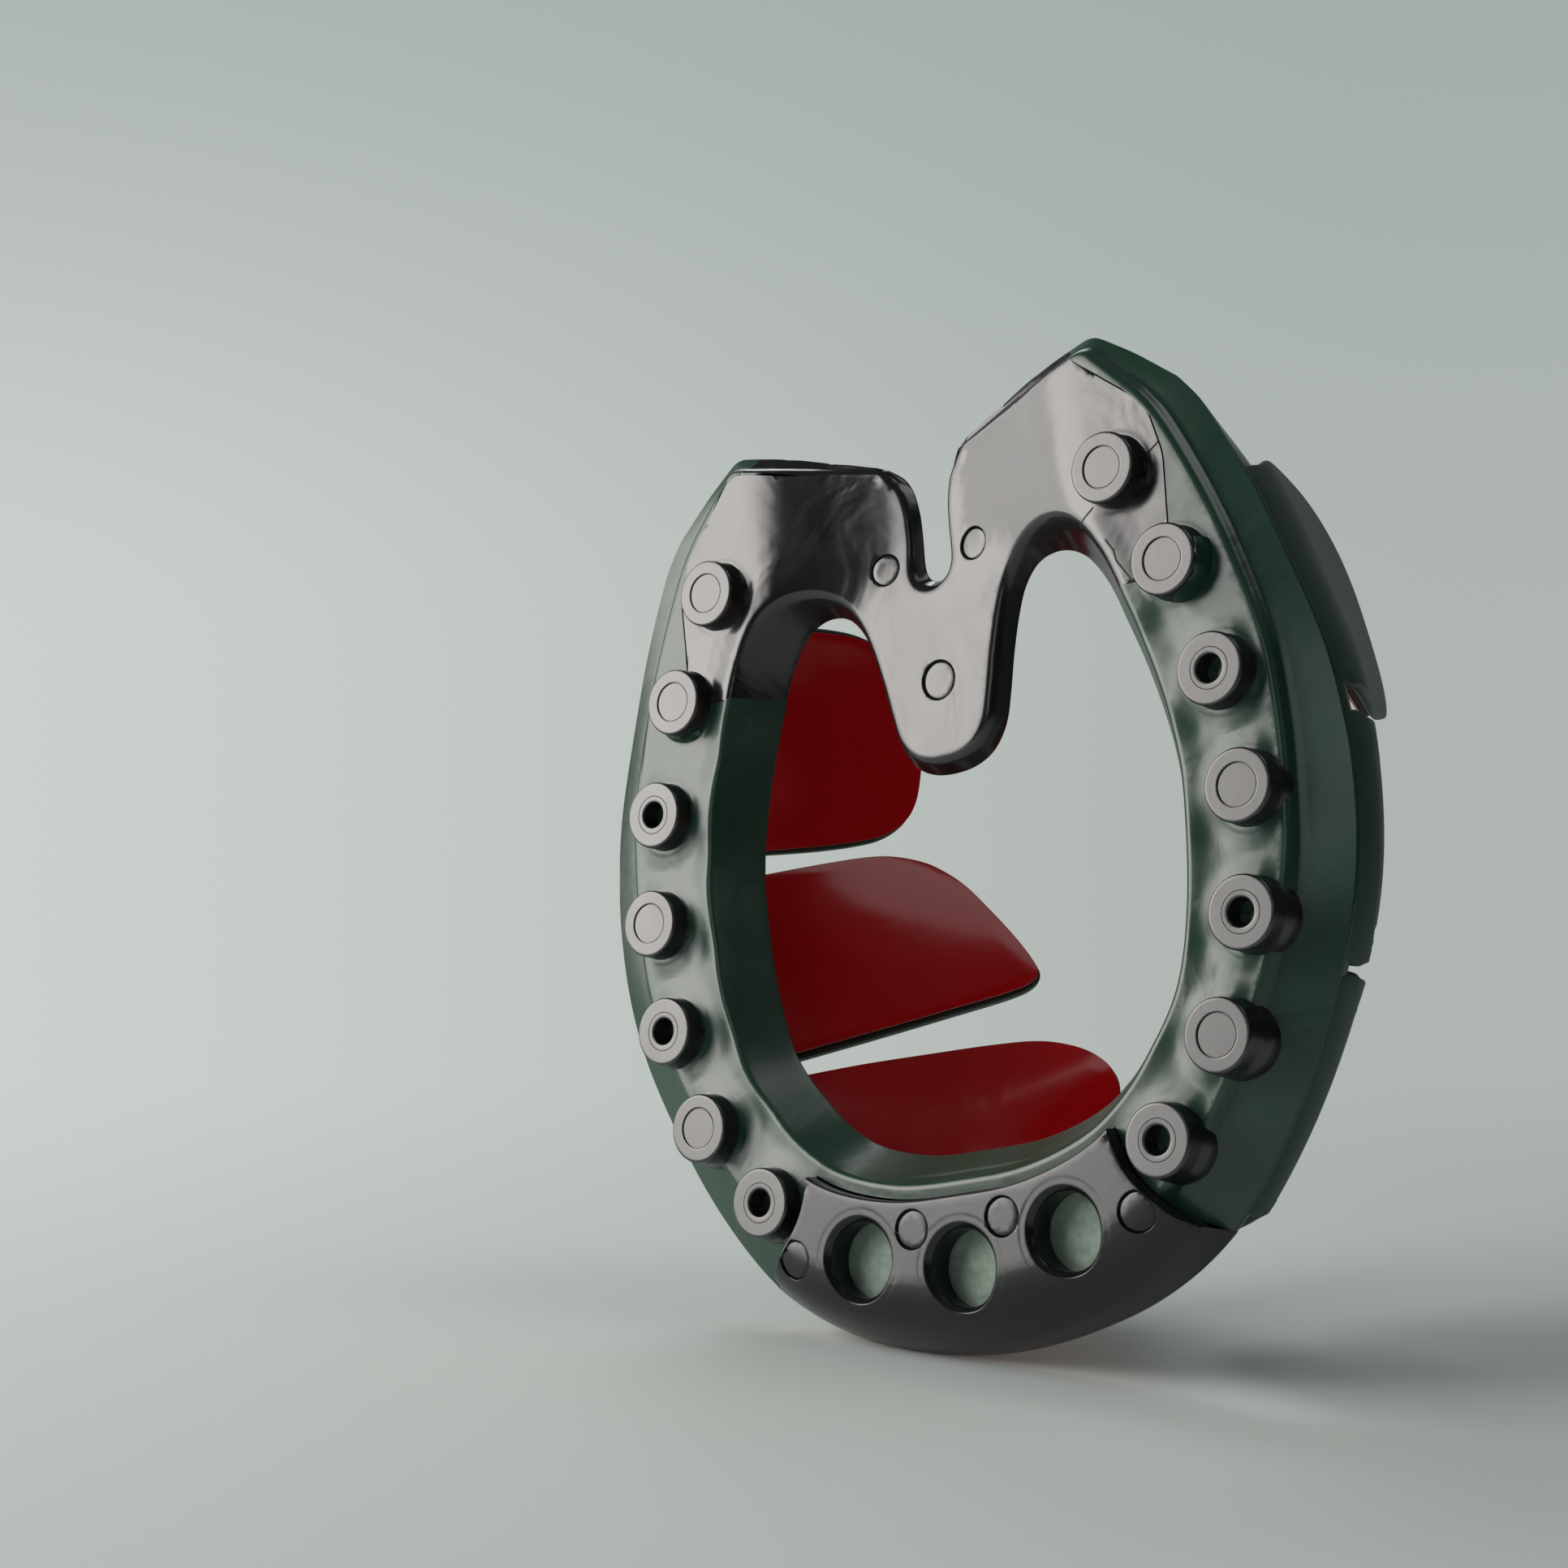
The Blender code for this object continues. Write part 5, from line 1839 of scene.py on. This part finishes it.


@dataclass
class Flap:
    """A soft flap with its pad and its liner."""

    place: str
    shape: FlapShape
    side: Side
    wall: float = 1.8
    wall_out: float = 0.15
    wall_edge: float = 0.65
    pad: float = 0.95
    pad_gap: float = 0.02
    pad_edge: float = 0.12
    pad_border: tuple[float, float] = (0.9, 2.1)
    film: float = 0.35
    film_gap: float = 0.03
    film_edge: float = 0.1
    film_border: tuple[float, float] = (0.6, 1.8)
    root_rise: float = 0.45
    upright: float = 1.0
    bend: float = 8.0
    pieces: dict[str, bpy.types.Object] = field(default_factory=dict)

    def outer_face(self, spots: np.ndarray) -> np.ndarray:
        """Points of the outer face.

        Args:
            spots: places as shares of the rim's run and of the flap height.

        Returns:
            The points in X, Y and Z.
        """
        runs = np.clip(spots[:, 0], 0, 1) * RIM_SIDE_RUN[-1]
        foot = [np.interp(runs, RIM_SIDE_RUN, RIM_SIDE[:, axis]) for axis in (0, 1)]
        rise = spots[:, 1] * FLAP_HEIGHT
        past = np.maximum(rise - self.upright, 0.0)
        past = np.where(past < self.bend, past * past / (2 * self.bend), past - self.bend / 2)
        power = len(self.shape.runs) - 1
        for axis, leans in enumerate(zip(*self.shape.leans)):
            lean = np.polyval(np.polyfit(self.shape.runs, leans, power), spots[:, 0])
            foot[axis] = foot[axis] + lean * past
        return np.column_stack([*foot, HOOF + CLEAR + rise])

    def inward(self, spots: np.ndarray, step: float = 0.004) -> np.ndarray:
        """Unit vectors from the outer face into the flap.

        Args:
            spots: places as shares of the rim's run and of the flap height.
            step: how far beside a place the face is measured.

        Returns:
            The vectors.
        """
        along = self.outer_face(spots + (step, 0)) - self.outer_face(spots - (step, 0))
        up = self.outer_face(spots + (0, step)) - self.outer_face(spots - (0, step))
        out = np.cross(along, up)
        out /= np.linalg.norm(out, axis=1)[:, None]
        return np.where(out[:, :1] > 0, -out, out)

    def sheet(
        self, name: str, outline: np.ndarray, near: float, far: float, edge: float
    ) -> bpy.types.Object:
        """A closed sheet between two depths, with a rounded border.

        Args:
            name: name of the object.
            outline: its outline as shares.
            near: depth of the face that looks out.
            far: depth of the face that looks in.
            edge: radius of the border.

        Returns:
            The object.
        """
        middle = np.array(self.shape.middle)
        size = np.linalg.norm((outline - middle) * SHEET_SCALE, axis=1)[:, None]
        arc = np.linspace(0, math.pi / 2, 5)
        turns = [(edge * (1 - math.sin(turn)), edge * (1 - math.cos(turn))) for turn in arc]
        layers = [(share, 0.0, near) for share in reversed(SHEET_SHARES)]
        layers += [(1.0, inset, near + dip) for inset, dip in turns]
        layers += [(1.0, inset, far - dip) for dip, inset in turns]
        layers += [(share, 0.0, far) for share in SHEET_SHARES]
        points = []
        for share, inset, depth in layers:
            spots = middle + (outline - middle) * (share - inset / size)
            points.append(self.outer_face(spots) + self.inward(spots) * depth)
        for depth in (near, far):
            points.append(self.outer_face(middle[None]) + self.inward(middle[None]) * depth)
        points = np.vstack(points) * (self.side.value, 1, 1)
        count = len(outline)
        faces = ring_quads(0, len(layers), count)
        for first, tip in ((0, len(points) - 2), ((len(layers) - 1) * count, len(points) - 1)):
            faces += [(first + i, first + (i + 1) % count, tip) for i in range(count)]
        return solid(name, points, faces)

    def border(self, margin: float, foot: float) -> np.ndarray:
        """The flap's outline moved in.

        Args:
            margin: how far it is moved in.
            foot: least height above the root.

        Returns:
            Its points as shares.
        """
        flat = closed_curve(np.array(self.shape.outline), 4) * SHEET_SCALE
        way = np.roll(flat, -1, axis=0) - np.roll(flat, 1, axis=0)
        way /= np.linalg.norm(way, axis=1)[:, None]
        flat = flat + np.stack([-way[:, 1], way[:, 0]], axis=1) * margin
        flat[:, 1] = np.maximum(flat[:, 1], foot)
        return flat / SHEET_SCALE

    def build(self) -> None:
        """Make the flap, the pad and the liner."""
        name = f"{self.place}_{self.side.name.lower()}"
        tab = self.border(0.0, 0.0)
        rim = rim_z(np.interp(tab[:, 0] * RIM_SIDE_RUN[-1], RIM_SIDE_RUN, RIM_SIDE[:, 1]))
        drop = (HOOF + CLEAR - rim - self.root_rise) / FLAP_HEIGHT
        tab[:, 1] -= drop * (1 - soft_step(0.0, 0.02, tab[:, 1]))
        self.pieces["flap"] = self.sheet(f"flap_{name}", tab, -self.wall_out, self.wall, self.wall_edge)
        near = self.wall + self.pad_gap
        outline = self.border(*self.pad_border)
        self.pieces["pad"] = self.sheet(f"pad_{name}", outline, near, near + self.pad, self.pad_edge)
        near = near + self.pad + self.film_gap
        outline = self.border(*self.film_border)
        self.pieces["liner"] = self.sheet(f"liner_{name}", outline, near, near + self.film, self.film_edge)

    def dress(self) -> None:
        """Give the pieces their finishes and their places in the frame."""
        side = self.side.name.lower()
        tab, film = f"{self.place}_tab_{side}", f"{self.place}_film_{side}"
        runs = [run for run, height in self.shape.outline if height == 0]
        spot = self.outer_face(np.array([[sum(runs) / len(runs), 0.0]]))[0] * (self.side.value, 1, 1) * MM
        start, end = ((spot[0], spot[1], height) for height in ROOT)
        flap, pad, liner = (self.pieces[key] for key in ("flap", "pad", "liner"))
        for thing, finish in ((flap, FLAP), (pad, FOAM), (liner, FILM)):
            paint(thing, finish)
        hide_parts(f"{self.place}_flap_{side}")
        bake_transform(flap)
        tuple(start)
        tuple(end)
        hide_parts(f"{self.place}_pad_{side}")
        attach(pad, tab)
        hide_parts(f"{self.place}_liner_{side}")
        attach(liner, film)


RIGHT = Vector((-0.76983, -0.07342, 0.63401))
UP = Vector((-0.20307, 0.96992, -0.13425))
FORWARD = Vector((0.60508, 0.23209, 0.76159))


@dataclass(frozen=True)
class Lamp:
    """An area lamp that faces the shoe.

    Attributes:
        name: its name.
        azimuth: its direction from the shoe, in degrees to the left of the camera's view.
        elevation: degrees above the floor.
        distance: distance from the shoe, in metres.
        size: width and height.
        light: brightness of its surface, where 1 is white.
        colour: its colour.
        target: the point that it faces, in metres.
    """

    name: str
    azimuth: float
    elevation: float
    distance: float
    size: tuple[float, float]
    light: float
    colour: Colour
    target: Colour = (0.0, 0.0, 0.02)

    def build(self) -> None:
        """Set the lamp up."""
        data = bpy.data.lights.new(self.name, "AREA")
        data.shape = "RECTANGLE"
        data.size, data.size_y = self.size
        data.energy = self.light * math.pi * self.size[0] * self.size[1]
        data.color = self.colour
        a, e = math.radians(self.azimuth), math.radians(self.elevation)
        way = (FORWARD * math.cos(a) - RIGHT * math.sin(a)) * math.cos(e) + UP * math.sin(e)
        back = way.normalized()
        right = UP.cross(back).normalized()
        turn = Matrix((right, back.cross(right), back)).transposed().to_4x4()
        shift = Matrix.Translation(Vector(self.target) + back * self.distance)
        linked(self.name, data).matrix_world = shift @ turn


LAMPS = (
    Lamp("softbox", 87.0, 18.0, 1.0, (1.04, 0.84), 3.7, (1.0, 0.97, 0.94)),
    Lamp("softbox core", 97.0, 17.0, 0.98, (0.36, 0.46), 2.6, (1.0, 0.955, 0.92)),
    Lamp("top", 15.0, 48.0, 1.1, (0.42, 0.40), 3.6, (0.96, 1.0, 0.98)),
    Lamp("fill", -106.0, 66.0, 1.1, (0.50, 0.50), 1.5, (0.96, 1.0, 0.98)),
    Lamp("window", -146.0, 26.0, 1.2, (0.20, 0.30), 0.6, (1.0, 1.0, 1.0)),
    Lamp("side", 158.0, 22.0, 1.1, (0.35, 0.50), 0.9, (0.94, 1.0, 0.99)),
)


@dataclass
class Studio:
    """Camera, floor, backdrop and lamps, in metres."""

    eye: Colour = (-0.251437, -0.090309, -0.346375)
    lens: float = 70.766
    sensor: float = 36.0
    clip: tuple[float, float] = (0.01, 100.0)
    floor_middle: Colour = (0.0, 0.0, 0.03)
    floor_drop: float = 0.0708
    floor_size: float = 6.0
    floor_colour: Colour = (0.73, 0.785, 0.765)
    low_left: Colour = (0.600, 0.634, 0.606)
    low_right: Colour = (0.428, 0.464, 0.440)
    high_left: Colour = (0.410, 0.455, 0.438)
    high_right: Colour = (0.365, 0.416, 0.410)
    room_dark: Colour = (0.009, 0.011, 0.010)
    room_pale: Colour = (0.30, 0.325, 0.31)
    room_top: Colour = (0.50, 0.53, 0.51)

    def camera(self) -> None:
        """Set the camera at the photograph's viewpoint."""
        data = bpy.data.cameras.new("camera")
        data.lens, data.sensor_width = self.lens, self.sensor
        data.clip_start, data.clip_end = self.clip
        thing = linked("camera", data)
        turn = Matrix((RIGHT, UP, -FORWARD)).transposed().to_4x4()
        thing.matrix_world = Matrix.Translation(Vector(self.eye)) @ turn
        bpy.context.scene.camera = thing

    def floor(self) -> None:
        """A pale floor that is seen from above only and fades out into the backdrop."""
        middle = Vector(self.floor_middle)
        middle = middle - UP * (self.floor_drop + middle.dot(UP))
        half = self.floor_size / 2
        signs = ((-1, -1), (1, -1), (1, 1), (-1, 1))
        corners = [middle + RIGHT * a * half + FORWARD * b * half for a, b in signs]
        mesh = bpy.data.meshes.new("floor")
        mesh.from_pydata([c[:] for c in corners], [], [(0, 1, 2, 3)])
        mesh.update()
        if mesh.polygons[0].normal.dot(UP) < 0:
            mesh.flip_normals()
        made, tree = new_material("floor")
        values = {"Base Color": (*self.floor_colour, 1.0), "Roughness": 0.9, "Specular IOR Level": 0.1}
        pale = tree.node("ShaderNodeBsdfPrincipled", values=values)
        clear = tree.node("ShaderNodeBsdfTransparent")
        back = tree.node("ShaderNodeNewGeometry", out="Backfacing")
        here = tree.node("ShaderNodeTexCoord", out="Object")
        ahead, aside = tree.dot(here, FORWARD), tree.dot(here, RIGHT)
        fade = ahead.step(-0.02, 0.42).math("MAXIMUM", aside.math("ABSOLUTE").step(0.7, 1.6))
        fade = fade.math("MAXIMUM", (-ahead).step(0.6, 1.5)).math("MAXIMUM", back)
        shader = tree.node("ShaderNodeMixShader", values={0: fade, 1: pale, 2: clear})
        tree.node("ShaderNodeOutputMaterial", values={"Surface": shader})
        mesh.materials.append(made)
        linked("floor", mesh)

    def world(self) -> None:
        """A pale backdrop for what the camera sees, and a darker room for light."""
        world = bpy.data.worlds.new("studio")
        bpy.context.scene.world = world
        world.use_nodes = True
        tree = Tree(world.node_tree)
        way = tree.node("ShaderNodeTexCoord", out="Generated")
        up, right, ahead = (tree.dot(way, axis) for axis in (UP, RIGHT, FORWARD))
        across = right.step(-0.30, 0.22)
        low = tree.mix(across, self.low_left, self.low_right)
        high = tree.mix(across, self.high_left, self.high_right)
        backdrop = tree.mix(up.step(0.04, 0.29), low, high)
        room = tree.mix(ahead.step(0.45, 0.95), self.room_dark, self.room_pale)
        room = tree.mix(up.step(0.5, 0.98) * 0.12, room, self.room_top)
        names = ("Is Camera Ray", "Is Transmission Ray")
        rays = [tree.node("ShaderNodeLightPath", out=name) for name in names]
        seen = (rays[0] + rays[1]).math("MINIMUM", 1.0)
        values = {"Color": tree.mix(seen, room, backdrop), "Strength": 1.0}
        shader = tree.node("ShaderNodeBackground", values=values)
        tree.node("ShaderNodeOutputWorld", values={"Surface": shader})

    def build(self) -> None:
        """Set up everything round the shoe."""
        self.camera()
        self.floor()
        self.world()
        for lamp in LAMPS:
            lamp.build()


def main() -> None:
    """Build the shoe piece by piece, then the studio."""
    sets = [SoleBody(), TreadCore(), ToeCap(), Flash(8, (148.0, 292.0), 0.42), Flash(1, (235.0, 350.0), 2.2)]
    sets += [Flap(place, shape, side) for place, shape in FLAPS.items() for side in Side]
    for item in sets:
        item.build()
        item.dress()
        log.info("dressed %s", type(item).__name__)
    Studio().build()
    bpy.context.scene.view_settings.view_transform = "Standard"


if __name__ == "__main__":
    main()
